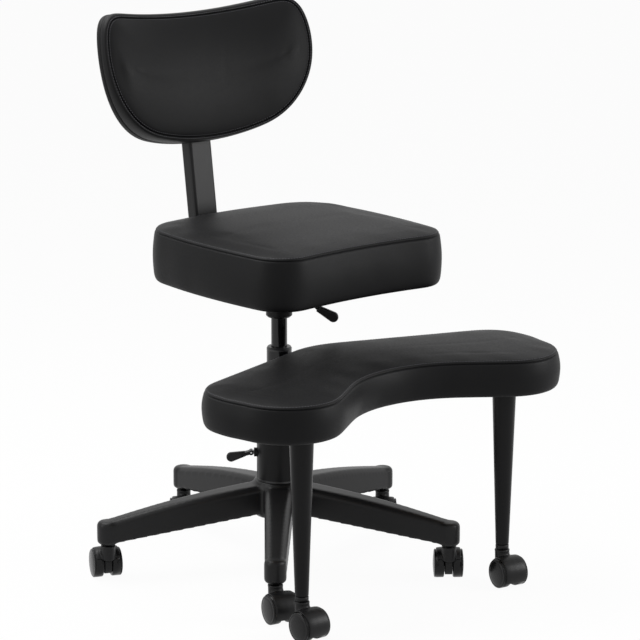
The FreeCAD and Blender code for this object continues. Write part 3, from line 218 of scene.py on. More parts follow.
# %% Dress the CAD nodes
FINISH_OF_SLOT = {
    "pu_leather": leather, "black_nylon": moulded_nylon, "castor_nylon": castor_nylon,
    "black_powder_coat": powder_coat, "bare_steel": bright_steel, "zinc_fixings": zinc_plate,
    "bush_acetal": acetal, "plywood": plywood, "dust_cloth": dust_cloth,
}
FINISH_OF_NODE = {
    "gas_cylinder": gloss_enamel, "column_tube": gloss_enamel, "seat_lever_rod": powder_coat,
    "lock_lever_rod": powder_coat, "base_stems": black_oxide, "leg_stems": black_oxide,
}
for part in frame["record"]["subparts"]:
    dressed = FINISH_OF_NODE.get(part["node"], FINISH_OF_SLOT[part["material_slot"]])
    for material_slot in frame["nodes"][part["node"]].material_slots:
        material_slot.material = dressed


# %% [markdown]
# ## From a grid of points to a piece
# Every new piece is a grid: rows of points whose columns close on themselves. A row that shrinks to a point
# or to a line closes the surface there once its points are welded.

# %% Grid to mesh
WELD = 0.02 * MM


def piece(name, grids, material, body, replaced=(), held=None):
    """One object from grids of points (rows, columns, xyz) in mm.

    Quad (i, j) joins the points of rows i and i + 1 and columns j and j + 1. held gives each row of the only
    grid a weight from 0 to 1, kept as a vertex group for the cloth.
    """
    points, quads, start = [], [], 0
    for grid in grids:
        rows, columns = grid.shape[:2]
        corner = np.arange(start, start + rows * columns).reshape(rows, columns)
        beside = np.roll(corner, -1, axis=1)
        quads.append(np.stack([corner[:-1], beside[:-1], beside[1:], corner[1:]], axis=-1).reshape(-1, 4))
        points.append(grid.reshape(-1, 3) * MM)
        start += rows * columns
    mesh = bpy.data.meshes.new(name)
    mesh.from_pydata(np.concatenate(points).tolist(), [], np.concatenate(quads).tolist())
    obj = bpy.data.objects.new(name, mesh)
    bpy.context.scene.collection.objects.link(obj)
    if held is not None:
        group = obj.vertex_groups.new(name="held")
        for row in np.flatnonzero(held):
            columns = grids[0].shape[1]
            group.add(range(row * columns, (row + 1) * columns), float(held[row]), "REPLACE")
    shell = bmesh.new()
    shell.from_mesh(mesh)
    bmesh.ops.remove_doubles(shell, verts=shell.verts, dist=WELD)
    bmesh.ops.recalc_face_normals(shell, faces=shell.faces)
    shell.to_mesh(mesh)
    shell.free()
    mesh.materials.append(material)
    mesh.shade_smooth()
    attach(obj, body)
    if replaced:
        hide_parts(*replaced)
    print(name, len(mesh.vertices), "points on", body)
    return obj


# %% [markdown]
# ## Upholstered pads
# A pad's cover is cut as a top panel and a boxing strip, sewn together round the edge, and stapled under the
# board. Its outline is a chain of arcs, so the cover is that outline moved inwards by a different amount at
# each height. Where the top closes, each column runs to a line through the middle, the pad's spine, and meets
# the column from the other side there.

# %% Outlines and rings
ARC_POINTS, WAVES = 60, 5


def arc_chain(corners, count):
    """Open run of count points along arcs through the corners (x, y, bulge), without its last point.

    The run from a to b has half chord h and its bulge s stands to the left of the way it goes. The circle's
    radius is (h² + s²) / 2s, and the points lie at equal turns of it, from -2·atan(s/h) to 2·atan(s/h).
    """
    runs = []
    share = np.linspace(-1, 1, ARC_POINTS)[:, None]
    for (ax, ay, bulge), (bx, by, _) in zip(corners[:-1], corners[1:]):
        a, b = np.array([ax, ay]), np.array([bx, by])
        half = np.linalg.norm(b - a) / 2
        along = (b - a) / (2 * half)
        left = np.array([-along[1], along[0]])
        if bulge == 0:
            runs.append((a + b) / 2 + along * half * share)
            continue
        radius = (half ** 2 + bulge ** 2) / (2 * bulge)
        turn = 2 * np.arctan2(bulge, half) * share
        runs.append((a + b) / 2 + along * radius * np.sin(turn)
                    + left * (radius * np.cos(turn) - radius + bulge))
    line = np.concatenate(runs)
    travel = np.r_[0, np.cumsum(np.linalg.norm(np.diff(line, axis=0), axis=1))]
    at = np.linspace(0, travel[-1], count + 1)[:-1]
    return np.stack([np.interp(at, travel, line[:, k]) for k in (0, 1)], axis=1)


def soften(curve, points):
    """A closed curve blurred along itself by a bell of the given width in points, as a cover rounds corners."""
    turns = np.fft.fftfreq(len(curve)) * 2 * np.pi
    bell = np.exp(-(turns * points) ** 2 / 2)[:, None]
    return np.fft.ifft(np.fft.fft(curve, axis=0) * bell, axis=0).real


def moved_in(curve, distance):
    """A closed curve moved to the right of the way it runs by a distance, along its own normals."""
    along = np.roll(curve, -1, axis=0) - np.roll(curve, 1, axis=0)
    left = np.stack([-along[:, 1], along[:, 0]], axis=1)
    return curve - distance * left / np.linalg.norm(left, axis=1, keepdims=True)


def spine(ring, share):
    """Line through a ring's middle: the mean of columns j and n - j, drawn in to a share of its length."""
    count = len(ring)
    column = np.arange(count)
    middle = (ring + ring[(-column) % count]) / 2
    half = count // 2
    along = np.minimum(column, count - column) / half
    at = (0.5 + (along - 0.5) * share) * half
    return np.stack([np.interp(at, np.arange(half + 1), middle[:half + 1, k]) for k in (0, 1)], axis=1)


def pad_plan(curve, insets, closing, spine_share):
    """Plan of a cover, (rows, columns, 2): from its spine out, along the insets, and back to a spine.

    closing holds the shares, from 0 to 1, of the way from the last ring to the spine.
    """
    rings = np.stack([moved_in(curve, distance) for distance in insets])
    share = np.array(closing)[:, None, None]
    under = rings[0] + share[::-1] * (spine(rings[0], spine_share) - rings[0])
    over = rings[-1] + share * (spine(rings[-1], spine_share) - rings[-1])
    return np.concatenate([under, rings, over])


def crease(grid, row_weight, amount, wavelength, seed):
    """Hide that is never quite even: a sum of five waves along the columns, each with its own phase by row."""
    rng = np.random.default_rng(seed)
    rows, columns = grid.shape[:2]
    travel = np.linspace(0, 2 * np.pi, columns, endpoint=False)
    length = np.linalg.norm(np.diff(grid[rows // 2], axis=0), axis=1).sum()
    waves = np.round(length / wavelength * rng.uniform(0.6, 1.5, WAVES))
    phase = rng.uniform(0, 2 * np.pi, WAVES) + np.outer(np.linspace(0, 1, rows), rng.uniform(-3, 3, WAVES))
    ripple = np.cos(travel[None, :, None] * waves + phase[:, None, :]).sum(axis=2) / np.sqrt(WAVES)
    return ripple * np.asarray(row_weight)[:, None] * amount


def surface_normals(grid):
    """Unit normals of a grid: the cross product of its steps along the rows and along the columns."""
    along = np.roll(grid, -1, axis=1) - np.roll(grid, 1, axis=1)
    across = np.gradient(grid, axis=0)
    normal = np.cross(along, across)
    return normal / np.maximum(np.linalg.norm(normal, axis=2, keepdims=True), 1e-9)


# %% [markdown]
# Foam presses its cover out between the seams. Blender's Cloth does that: the cover gets a pressure from
# inside, its seams and its stapled edge are held, and it swells for twenty frames. Smoothing takes out the
# ripples that the run leaves. Foam is firm, so a soft limit keeps every point within a few millimetres of the
# cut shape.

# %% Swell a cover
FRAMES, PRESSURE, EVEN_ROUNDS = 20, 4.0, 8


def swell(pad, limit_mm):
    """Run Cloth under pressure and apply it; a move of length L is shortened to limit·tanh(L / limit)."""
    cut = np.empty(len(pad.data.vertices) * 3)
    pad.data.vertices.foreach_get("co", cut)
    cloth = pad.modifiers.new("Foam", "CLOTH")
    cloth.settings.vertex_group_mass = "held"
    cloth.settings.use_pressure = True
    cloth.settings.uniform_pressure_force = PRESSURE
    cloth.settings.effector_weights.gravity = 0.0
    cloth.point_cache.frame_end = FRAMES
    even = pad.modifiers.new("Even", "SMOOTH")
    even.iterations = EVEN_ROUNDS
    even.vertex_group, even.invert_vertex_group = "held", True
    for step in range(1, FRAMES + 1):
        bpy.context.scene.frame_set(step)
    swollen = np.empty_like(cut)
    settled = pad.evaluated_get(bpy.context.evaluated_depsgraph_get())
    settled.data.vertices.foreach_get("co", swollen)
    pad.modifiers.clear()
    bpy.context.scene.frame_set(1)
    move = (swollen - cut).reshape(-1, 3) / MM
    length = np.maximum(np.linalg.norm(move, axis=1, keepdims=True), 1e-9)
    move *= limit_mm * np.tanh(length / limit_mm) / length
    pad.data.vertices.foreach_set("co", cut + move.ravel() * MM)
    pad.data.update()
    print(pad.name, "swelled by up to", round(float(np.abs(move).max()), 2), "mm")
    smooth = pad.modifiers.new("Smooth", "SUBSURF")
    smooth.levels = smooth.render_levels = 1


# %% [markdown]
# A seam is held down by a row of lockstitches. Each stitch is a short sausage of thread, half sunk in the
# cover. A few dozen faces are enough, because there are hundreds of them.

# %% Stitches
STITCH_PITCH, STITCH_LENGTH, STITCH_THICKNESS = 5.0, 3.6, 1.3


def stitch_row(path, normals):
    """Grids of stitches on a closed path, one every pitch.

    A stitch is an ellipsoid: centre + t·(length/2)·cos v + (side·cos a + normal·sin a)·(thickness/2)·sin v,
    with v from 0 to 180 degrees in the rows and a once round in the columns.
    """
    closed = np.concatenate([path, path[:1]])
    travel = np.r_[0, np.cumsum(np.linalg.norm(np.diff(closed, axis=0), axis=1))]
    count = int(travel[-1] / STITCH_PITCH)
    at = (np.arange(count) + 0.5) * travel[-1] / count

    def sample(values):
        ring = np.concatenate([values, values[:1]])
        return np.stack([np.interp(at, travel, ring[:, k]) for k in range(3)], axis=1)

    ahead = sample(np.roll(path, -1, axis=0) - np.roll(path, 1, axis=0))
    ahead /= np.linalg.norm(ahead, axis=1, keepdims=True)
    up = sample(normals)
    up /= np.linalg.norm(up, axis=1, keepdims=True)
    side = np.cross(up, ahead)
    v = np.linspace(0, np.pi, 5)[:, None, None]
    a = np.linspace(0, 2 * np.pi, 6, endpoint=False)[None, :, None]
    middle, ahead, up, side = (part[:, None, None, :] for part in (sample(path), ahead, up, side))
    grids = (middle + ahead * np.cos(v) * STITCH_LENGTH / 2
             + (side * np.cos(a) + up * np.sin(a)) * np.sin(v) * STITCH_THICKNESS / 2)
    return list(grids)


# %% [markdown]
# ### The seat
# A square pad with rounded corners, sides that swell a little and a front edge that dips for the thighs. The
# boxing stands nearly upright, the seam runs round the top edge, and a row of stitches follows just above it.

# %% Seat outline
seat_low, seat_high = node_box("seat_cushion")
SEAT_CORNER, SEAT_FRONT_CORNER = 82.0, 62.0
SEAT_DIP, SEAT_SIDE_BULGE, SEAT_REAR_BULGE = 11.0, 7.0, 9.0
SEAT_SEAM_DROP = 10.0
QUARTER = 1 - np.sqrt(0.5)
half = seat_high[0] - SEAT_SIDE_BULGE
front, rear = seat_low[1], seat_high[1] - SEAT_REAR_BULGE
middle_y = (front + rear) / 2
turn, front_corner_turn = SEAT_CORNER * QUARTER, SEAT_FRONT_CORNER * QUARTER
side_bulge = SEAT_SIDE_BULGE / 4
seat_front_run = [
    (half + SEAT_SIDE_BULGE, middle_y, side_bulge), (half, front + SEAT_FRONT_CORNER, front_corner_turn),
    (half - SEAT_FRONT_CORNER, front, -SEAT_DIP), (SEAT_FRONT_CORNER - half, front, front_corner_turn),
    (-half, front + SEAT_FRONT_CORNER, side_bulge), (-half - SEAT_SIDE_BULGE, middle_y, 0),
]
seat_rear_run = [
    (-half - SEAT_SIDE_BULGE, middle_y, side_bulge), (-half, rear - SEAT_CORNER, turn),
    (SEAT_CORNER - half, rear, SEAT_REAR_BULGE), (half - SEAT_CORNER, rear, turn),
    (half, rear - SEAT_CORNER, side_bulge), (half + SEAT_SIDE_BULGE, middle_y, 0),
]
seat_curve = soften(np.concatenate([arc_chain(seat_front_run, 120), arc_chain(seat_rear_run, 120)]), 1.5)


# %% [markdown]
# Both flat pads share one recipe: a stack of rows from the staples under the board to the crown of the panel.
# Each row is the outline, moved in by an inset and set at a level, with a share of it held against the foam.

# %% Rows of a flat pad
STAPLED_ROWS, FOLD_ROWS, BOXING_ROWS, PANEL_ROWS = 3, 6, 7, 7
FOLD, FOLD_LEAN, BOXING_SWELL = 14.0, 0.6, 2.0
FOLD_HOLD = np.array([1.0, 0.8, 0.5, 0.2, 0.0, 0.0])
SEAM_INSETS = np.array([-0.5, 0.4, 4.2, 0.8, 2.0, 4.2])
SEAM_LEVELS = np.array([-2.4, -1.0, 0.0, 1.0, 2.6, 4.6])
SEAM_ROWS = len(SEAM_INSETS)


def pad_rows(low, seam, high, recess, depth, seam_inset, crown_inset):
    """Insets, levels and hold of a flat pad's rows, from its board over the boxing to the crown.

    The boxing rises from a quarter-round fold, swells by a half sine and leans in to the seam. The groove of
    the seam is one row drawn in, the stitches lie three rows above it, and the panel rises from them by a cubic
    to the crown.
    """
    angle = np.linspace(0, np.pi / 2, FOLD_ROWS)
    fold_inset, fold_level = FOLD * (1 - np.sin(angle)) * FOLD_LEAN, low + FOLD * (1 - np.cos(angle))
    seam_rows_inset, seam_rows_level = seam_inset + SEAM_INSETS, seam + SEAM_LEVELS
    share = np.linspace(0, 1, BOXING_ROWS + 2)[1:-1]
    box_level = low + FOLD + (seam_rows_level[0] - low - FOLD) * share
    box_inset = seam_rows_inset[0] * share ** 3 - BOXING_SWELL * np.sin(np.pi * share)
    rise = np.linspace(0, 1, PANEL_ROWS + 1)[1:]
    start, sewn = seam_rows_inset[-1], seam_rows_level[-1]
    panel_inset = start + (crown_inset - start) * rise ** 1.5
    panel_level = sewn + (high - sewn) * (1 - (1 - rise ** 1.5) ** 3)
    inset = np.r_[recess, recess, recess - 4, fold_inset, box_inset, seam_rows_inset, panel_inset]
    level = np.r_[low + depth, low + 0.6, low, fold_level, box_level, seam_rows_level, panel_level]
    hold = np.r_[np.ones(STAPLED_ROWS), FOLD_HOLD, np.zeros(BOXING_ROWS - 1), 0.3,
                 np.ones(SEAM_ROWS), 0.6, np.zeros(PANEL_ROWS - 1)]
    return inset, level, hold


CLOSING_ROWS = 8
CLOSING = np.linspace(0, 1, CLOSING_ROWS + 1)[1:]
FLAT_RIPPLE, BACK_RIPPLE, RIPPLE_LENGTH = 0.25, 0.2, 90.0
FIRM = 0.25


def flat_pad(name, curve, rows, crown_rise, spine_share, body, replaced, limit_mm, seed):
    """A pad on a board, and the grid that it was cut to; its last rows rise by a smooth step to the spine."""
    inset, level, hold = rows
    plan = pad_plan(curve, inset, CLOSING, spine_share)
    crown = level[-1] + crown_rise * CLOSING ** 2 * (3 - 2 * CLOSING)
    heights = np.r_[np.full(CLOSING_ROWS, level[0]), level, crown]
    held = np.r_[np.ones(CLOSING_ROWS), hold, np.zeros(CLOSING_ROWS)]
    grid = np.concatenate([plan, np.broadcast_to(heights[:, None, None], plan.shape[:2] + (1,))], axis=2)
    outward = surface_normals(grid)
    soft = np.where(held > FIRM, 0, 1) * np.r_[np.ones(len(held) - CLOSING_ROWS), np.zeros(CLOSING_ROWS)]
    grid = grid + outward * crease(grid, soft, FLAT_RIPPLE, RIPPLE_LENGTH, seed)[:, :, None]
    pad = piece(name, [grid], leather, body, [replaced], held)
    swell(pad, limit_mm)
    return grid, outward


# %% Seat pad
BOARD_GAP = 0.2
seat_board_top = node_box("seat_board")[1][2]
SEAT_BOARD_INSET = 19.7
seat_rows = pad_rows(seat_low[2], seat_high[2] - SEAT_SEAM_DROP, seat_high[2], recess=SEAT_BOARD_INSET,
                     depth=seat_board_top - seat_low[2] + BOARD_GAP, seam_inset=3.0, crown_inset=46.0)
seat_grid, seat_normals = flat_pad(
    "seat_pad", seat_curve, seat_rows, crown_rise=2.5, spine_share=0.45, body="seat",
    replaced="seat_cushion", limit_mm=2.5, seed=3)

# %% [markdown]
# ### The leg rest
# A boomerang pad: a hollow front between two round lobes, and a hump towards the column. It is sewn like the
# seat, only lower.

# %% Leg rest outline
rest_low, rest_high = node_box("leg_rest_cushion")
REST_FRONT, REST_FRONT_RADIUS = 307.0, 200.0
REST_LOBE_RADIUS, REST_HEEL_RADIUS = 95.0, 78.0
REST_HUMP_RADIUS = 150.0
REST_LOBE_Y, REST_HEEL_Y = 318.0, 252.0
REST_SEAM_RISE = 59.0
REST_TUCK = 9.0
lobe_x = rest_high[0] - REST_LOBE_RADIUS - REST_TUCK
heel_x = rest_high[0] - REST_HEEL_RADIUS
hump_y = -rest_high[1]
rise = REST_FRONT + REST_FRONT_RADIUS - REST_LOBE_Y
front_turn = (np.arcsin((REST_LOBE_RADIUS + REST_FRONT_RADIUS) / np.hypot(lobe_x, rise))
              - np.arctan2(rise, lobe_x))
drop = REST_HEEL_Y - hump_y - REST_HUMP_RADIUS
rear_turn = (np.arctan2(drop, heel_x)
             + np.arcsin((REST_HUMP_RADIUS - REST_HEEL_RADIUS) / np.hypot(heel_x, drop)))


def mirrored(run):
    """The run and its left half: the same corners, x negated, in reverse order, with each arc's bulge kept."""
    bulges = [corner[2] for corner in run[:-1]]
    left = [(-x, y, bulge) for (x, y, _), bulge in zip(run[::-1], bulges[::-1] + [0])]
    return run[:-1] + left


def around(x, y, radius, angle):
    """Point of a circle at an angle from the +X axis."""
    return x + radius * np.cos(angle), y + radius * np.sin(angle)


lobe_sag = REST_LOBE_RADIUS * (1 - np.cos((np.pi / 2 + front_turn) / 2))
heel_sag = REST_HEEL_RADIUS * (1 - np.cos((np.pi / 2 - rear_turn) / 2))
hollow_sag = REST_FRONT_RADIUS * (1 - np.cos(front_turn / 2))
hump_sag = REST_HUMP_RADIUS * (1 - np.cos(rear_turn / 2))
tip_y = -(REST_LOBE_Y + REST_HEEL_Y) / 2
rest_front_run = mirrored([
    (rest_high[0], tip_y, 0), (rest_high[0] - REST_TUCK, -REST_LOBE_Y, lobe_sag),
    (*around(lobe_x, -REST_LOBE_Y, REST_LOBE_RADIUS, -np.pi / 2 - front_turn), 0),
    (*around(0, -REST_FRONT - REST_FRONT_RADIUS, REST_FRONT_RADIUS, np.pi / 2 - front_turn), -hollow_sag),
    (0, -REST_FRONT, 0),
])
rest_rear_run = mirrored([
    (rest_high[0], tip_y, 0), (rest_high[0], -REST_HEEL_Y, -heel_sag),
    (*around(heel_x, -REST_HEEL_Y, REST_HEEL_RADIUS, np.pi / 2 - rear_turn), 0),
    (*around(0, -hump_y - REST_HUMP_RADIUS, REST_HUMP_RADIUS, np.pi / 2 - rear_turn), -hump_sag),
    (0, -hump_y, 0),
])
rest_rear_run = [(-x, y, -bulge) for x, y, bulge in rest_rear_run]
rest_curve = soften(np.concatenate([arc_chain(rest_front_run, 150), arc_chain(rest_rear_run, 150)]), 2.0)

# %% Leg rest pad
REST_BOARD_INSET, REST_PROUD = 17.7, 1.0
rest_board_top = node_box("leg_rest_board")[1][2]
rest_rows = pad_rows(rest_low[2], rest_low[2] + REST_SEAM_RISE, rest_high[2] + REST_PROUD,
                     recess=REST_BOARD_INSET, depth=rest_board_top - rest_low[2] + BOARD_GAP,
                     seam_inset=3.0, crown_inset=44.0)
rest_grid, rest_normals = flat_pad(
    "leg_rest_pad", rest_curve, rest_rows, crown_rise=1.5, spine_share=0.8, body="leg_rest",
    replaced="leg_rest_cushion", limit_mm=3.0, seed=8)

# %% [markdown]
# ### Stitches on the flat pads
# The stitches lie on the last row of the seam, three above its groove, which the cloth holds still, so they
# stay on the swollen cover.

# %% Seat and leg rest stitches
FLAT_STITCH_LIFT, BACK_STITCH_LIFT = 0.3, 0.2
STITCH_ROW = CLOSING_ROWS + STAPLED_ROWS + FOLD_ROWS + BOXING_ROWS + SEAM_ROWS - 1
for name, grid, normals, body in (("seat_stitches", seat_grid, seat_normals, "seat"),
                                  ("leg_rest_stitches", rest_grid, rest_normals, "leg_rest")):
    path, up = grid[STITCH_ROW], normals[STITCH_ROW]
    piece(name, stitch_row(path + up * FLAT_STITCH_LIFT, up), thread, body)

# %% [markdown]
# ### The backrest
# A bent board carries a thick front pad and a thin rear pad, both cut to the same shield. On the flat pattern
# a point has a place across, u, and a place up, w; bending brings its sides forward along an upright cylinder,
# and tilting leans the whole backrest away from the sitter. Each cover wraps a little over the board's edge, so
# that the two meet in a seam and hide the wood.

# %% Bend and tilt
BACK_ORIGIN = np.array([0.0, 196.0, 738.0])
BACK_TILT = np.radians(12.0)
BACK_HALF = node_box("back_cushion")[1][0]
BACK_RISE, BACK_SPINE = 236.0, 0.6


def bent(u, sag):
    """How far a cylinder with this sag at half width comes forward at u: R - sqrt(R² - u²)."""
    radius = (BACK_HALF ** 2 + sag ** 2) / (2 * sag)
    return radius - np.sqrt(radius ** 2 - u ** 2)


def hung(plan, depth):
    """Points of the bent pattern in the chair: turned back by the tilt and set on the backrest's origin."""
    u, w = plan[..., 0], plan[..., 1]
    y = depth * np.cos(BACK_TILT) + w * np.sin(BACK_TILT)
    z = w * np.cos(BACK_TILT) - depth * np.sin(BACK_TILT)
    return np.stack([u, y, z], axis=-1) + BACK_ORIGIN


# %% Backrest outline
BACK_FOOT = [(BACK_HALF, 140.0, 5.0), (204.0, 68.0, 10.0), (118.0, 8.0, 14.0 / 4), (0.0, -6.0, 0)]
BACK_HEAD = [(BACK_HALF, 140.0, -3.2), (222.0, 204.0, -9.5), (180.0, BACK_RISE, 11.0 / 4),
             (0.0, BACK_RISE - 11.0, 0)]
foot_run = mirrored(BACK_FOOT)
head_run = [(-x, y, -bulge) for x, y, bulge in mirrored(BACK_HEAD)]
shield = soften(np.concatenate([arc_chain(foot_run, 120), arc_chain(head_run, 120)]), 2.5)


# %% A bent pad
def back_layer(name, rows, near, near_sag, far, far_sag, depth_at_foot, swollen, replaced, limit_mm, seed):
    """A pad between two bent faces; a row is (inset, share of the way from near to far, bulge out, hold).

    The near face comes forward by depth_at_foot at the foot of the backrest, and by nothing at its head.
    """
    inset, share, bulge, hold = np.array(rows).T
    plan = pad_plan(shield, inset, CLOSING, BACK_SPINE)
    fill = np.ones(CLOSING_ROWS)
    share = np.r_[share[0] * fill, share, share[-1] * fill]
    bulge = np.r_[bulge[0] * fill, bulge, bulge[-1] + swollen * (1 - (1 - CLOSING) ** 3)]
    held = np.r_[fill, hold, 0 * fill]
    lumbar = depth_at_foot * np.clip(1 - plan[..., 1] / BACK_RISE, 0, 1)
    near_face = near - lumbar - bent(plan[..., 0], near_sag)
    far_face = far - bent(plan[..., 0], far_sag)
    outward = np.sign(near - far)
    depth = near_face + share[:, None] * (far_face - near_face) + outward * bulge[:, None]
    grid = hung(plan, depth)
    normals = surface_normals(grid) * outward
    soft = np.where(held > FIRM, 0, 1) * np.r_[np.ones(len(held) - CLOSING_ROWS), np.zeros(CLOSING_ROWS)]
    grid = grid + normals * crease(grid, soft, BACK_RIPPLE, RIPPLE_LENGTH, seed)[:, :, None]
    pad = piece(name, [grid], leather, "seat", [replaced], held)
    swell(pad, limit_mm)
    return grid, normals


# %% Backrest pads
FRONT_PAD, BOARD, REAR_PAD = 26.0, 10.0, 16.0
FRONT_SAG, BOARD_SAG, BOARD_REAR_SAG, REAR_SAG = 42.0, 58.0, 65.25, 71.0
LUMBAR = 10.0
front_rows = [
    (20, 1.0, 0, 1), (7.5, 1.0, 0, 1), (7.0, 1.17, 0, 1), (3.5, 1.17, 0, 1), (1.0, 1.12, 0, 1),
    (0.2, 0.9, 0, 0.6), (0, 0.6, 0, 0.3), (0.2, 0.38, 0.3, 0.3), (1.0, 0.2, 0.8, 0.4), (2.6, 0.08, 1.2, 0.6),
    (4.6, 0.0, 1.2, 0.8), (6.6, 0.0, 1.2, 1), (8.1, 0.0, 0.8, 1), (8.9, 0.0, -3.2, 1), (9.7, 0.0, 0.8, 1),
    (11.6, 0.0, 2.4, 1), (14.5, 0.0, 4.4, 0.6), (19, 0.0, 6.8, 0), (25, 0.0, 9.2, 0),
]
back_grid, back_normals = back_layer(
    "back_pad", front_rows, near=0.0, near_sag=FRONT_SAG, far=FRONT_PAD, far_sag=BOARD_SAG,
    depth_at_foot=LUMBAR, swollen=9.0, replaced="back_cushion", limit_mm=3.5, seed=12)
rear_rows = [
    (20, 1.0, 0, 1), (7.5, 1.0, 0, 1), (7.0, 1.28, 0, 1), (3.5, 1.28, 0, 1), (1.0, 1.2, 0, 1),
    (0.2, 0.85, 0, 0.6), (0, 0.55, 0, 0.4), (0.3, 0.3, 0.2, 0.4), (1.6, 0.1, 0.4, 0.5), (4.0, 0.0, 0.2, 0.8),
    (7.0, 0.0, 0.3, 1), (8.5, 0.0, 0.2, 1), (9.3, 0.0, -3.0, 1), (10.1, 0.0, 0.2, 1), (12.5, 0.0, 0.5, 1),
    (18, 0.0, 0.9, 0.4), (25, 0.0, 1.1, 0),
]
back_layer(
    "back_rear_cover", rear_rows, near=FRONT_PAD + BOARD + REAR_PAD, near_sag=REAR_SAG,
    far=FRONT_PAD + BOARD, far_sag=BOARD_REAR_SAG, depth_at_foot=0.0, swollen=0.9,
    replaced="back_rear_pad", limit_mm=2.0, seed=21)

# %% [markdown]
# The front seam of the backrest is sewn twice, once on each side of its groove.

# %% Backrest stitches
groove = CLOSING_ROWS + int(np.argmin([bulge for _, _, bulge, _ in front_rows]))
sewn_twice = [
    grid for row in (groove - 2, groove + 2)
    for grid in stitch_row(back_grid[row] + back_normals[row] * BACK_STITCH_LIFT, back_normals[row])
]
piece("back_stitches", sewn_twice, thread, "seat")


# %% [markdown]
# ## The five-arm base
# Moulded nylon has no sharp joint between an arm and the hub. The arms, hub and tips are first made as closed
# grids that overlap, then a voxel remesh fuses them into one skin and a few rounds of smoothing melt the
# joints to fillets.

# %% Fuse grids into one skin
def fused(name, grids, voxel_mm, rounds, material, body, replaced=()):
    """Closed grids that overlap, remeshed to one skin of voxel_mm and smoothed for some rounds."""
    obj = piece(name, grids, material, body, replaced)
    remesh = obj.modifiers.new("Fuse", "REMESH")
    remesh.mode = "VOXEL"
    remesh.voxel_size = voxel_mm * MM
    remesh.use_smooth_shade = True
    melt = obj.modifiers.new("Melt", "SMOOTH")
    melt.iterations = rounds
    skin = bpy.data.meshes.new_from_object(obj.evaluated_get(bpy.context.evaluated_depsgraph_get()))
    obj.modifiers.clear()
    obj.data = skin
    obj.data.name = name
    print(name, "fused to", len(skin.vertices), "points")


def turned(profile, count):
    """A surface of revolution about Z: the profile's (radius, height) points carried round count steps."""
    angle = np.linspace(0, 2 * np.pi, count, endpoint=False)
    radius, height = np.array(profile, dtype=float).T
    return np.stack([radius[:, None] * np.cos(angle), radius[:, None] * np.sin(angle),
                     np.broadcast_to(height[:, None], (len(height), count))], axis=-1)


def capped(grid):
    """A grid with a row added at each end, where all columns meet in the middle of that end."""
    first, last = (np.broadcast_to(grid[k].mean(axis=0), grid[k].shape)[None] for k in (0, -1))
    return np.concatenate([first, grid, last])


def spun(grid, degrees, x=0.0, y=0.0):
    """A grid turned about Z and then moved on the floor."""
    c, s = np.cos(np.radians(degrees)), np.sin(np.radians(degrees))
    return grid @ np.array([[c, s, 0], [-s, c, 0], [0, 0, 1]]) + np.array([x, y, 0])


# %% Star base
ARMS, BASE_RADIUS, BASE_TURN = 5, 312.0, 13.6
HUB_RADIUS, HUB_BOTTOM, HUB_EDGE, COLUMN_RADIUS = 47.0, 92.0, 4.0, 22.0
HUB_TOP = node_box("star_base")[1][2]
hub = turned([
    (COLUMN_RADIUS, HUB_BOTTOM), (HUB_RADIUS - HUB_EDGE, HUB_BOTTOM), (HUB_RADIUS, HUB_BOTTOM + HUB_EDGE),
    (HUB_RADIUS, HUB_TOP - 9), (HUB_RADIUS - 1.5, HUB_TOP - 8), (HUB_RADIUS - 1.5, HUB_TOP - 2),
    (HUB_RADIUS - 4, HUB_TOP), (COLUMN_RADIUS, HUB_TOP), (COLUMN_RADIUS, HUB_BOTTOM)], 72)
TIP_RADIUS, TIP_TOP, STEM_BORE = 19.0, 106.0, 9.0
TIP_LOW = node_box("castor_hood_1")[1][2] + 0.8
COLLAR_RADIUS, COLLAR_TOP = 14.5, 67.0
ARM_ROOT, ARM_ROOT_HALF, ARM_TIP_HALF = 30.0, 26.0, 18.0
ARM_ROOT_LOW, ARM_ROOT_TOP, ARM_BOW = 101.0, 152.0, 5.0
ARM_BEVEL, ARM_WALL = 8.0, 7.0


def arm_grid():
    """One arm as a U section carried out along X; width and heights go from root to tip, the top bows up."""
    share = np.linspace(0, 1, 24)[:, None]
    reach = ARM_ROOT + (BASE_RADIUS - ARM_ROOT) * share
    half = ARM_ROOT_HALF + (ARM_TIP_HALF - ARM_ROOT_HALF) * share
    low = ARM_ROOT_LOW + (COLLAR_TOP - ARM_ROOT_LOW) * share
    high = ARM_ROOT_TOP + (TIP_TOP - ARM_ROOT_TOP) * share + ARM_BOW * np.sin(np.pi * share)
    shoulder, flat, inner = high - ARM_BEVEL, half - ARM_BEVEL, half - ARM_WALL
    roof = np.maximum(high - ARM_WALL - ARM_BEVEL * 0.6, low + 1)
    across = np.concatenate([-half, -half, -flat, flat, half, half, inner, inner, -inner, -inner], axis=1)
    up = np.concatenate([low, shoulder, high, high, shoulder, low, low, roof, roof, low], axis=1)
    return capped(np.stack([np.broadcast_to(reach, across.shape), across, up], axis=-1))


tip = turned([
    (0, TIP_LOW + 3), (STEM_BORE, TIP_LOW + 3), (STEM_BORE, TIP_LOW), (COLLAR_RADIUS - 1, TIP_LOW),
    (COLLAR_RADIUS, TIP_LOW + 1), (COLLAR_RADIUS, COLLAR_TOP), (TIP_RADIUS - 1, COLLAR_TOP),
    (TIP_RADIUS, COLLAR_TOP + 1), (TIP_RADIUS, TIP_TOP - 6), (TIP_RADIUS - 2, TIP_TOP - 2),
    (TIP_RADIUS - 6, TIP_TOP), (0, TIP_TOP + 0.5)], 40)
arm_parts = [arm_grid(), tip + np.array([BASE_RADIUS, 0, 0])]
arms = [spun(part, BASE_TURN + 360 / ARMS * k) for k in range(ARMS) for part in arm_parts]
BASE_VOXEL, BASE_ROUNDS = 2.5, 10
fused("base_moulding", [hub] + arms, BASE_VOXEL, BASE_ROUNDS, moulded_nylon,
      "base", ["star_base"])

# %% [markdown]
# Each leg ends in a short collar round its castor's stem.

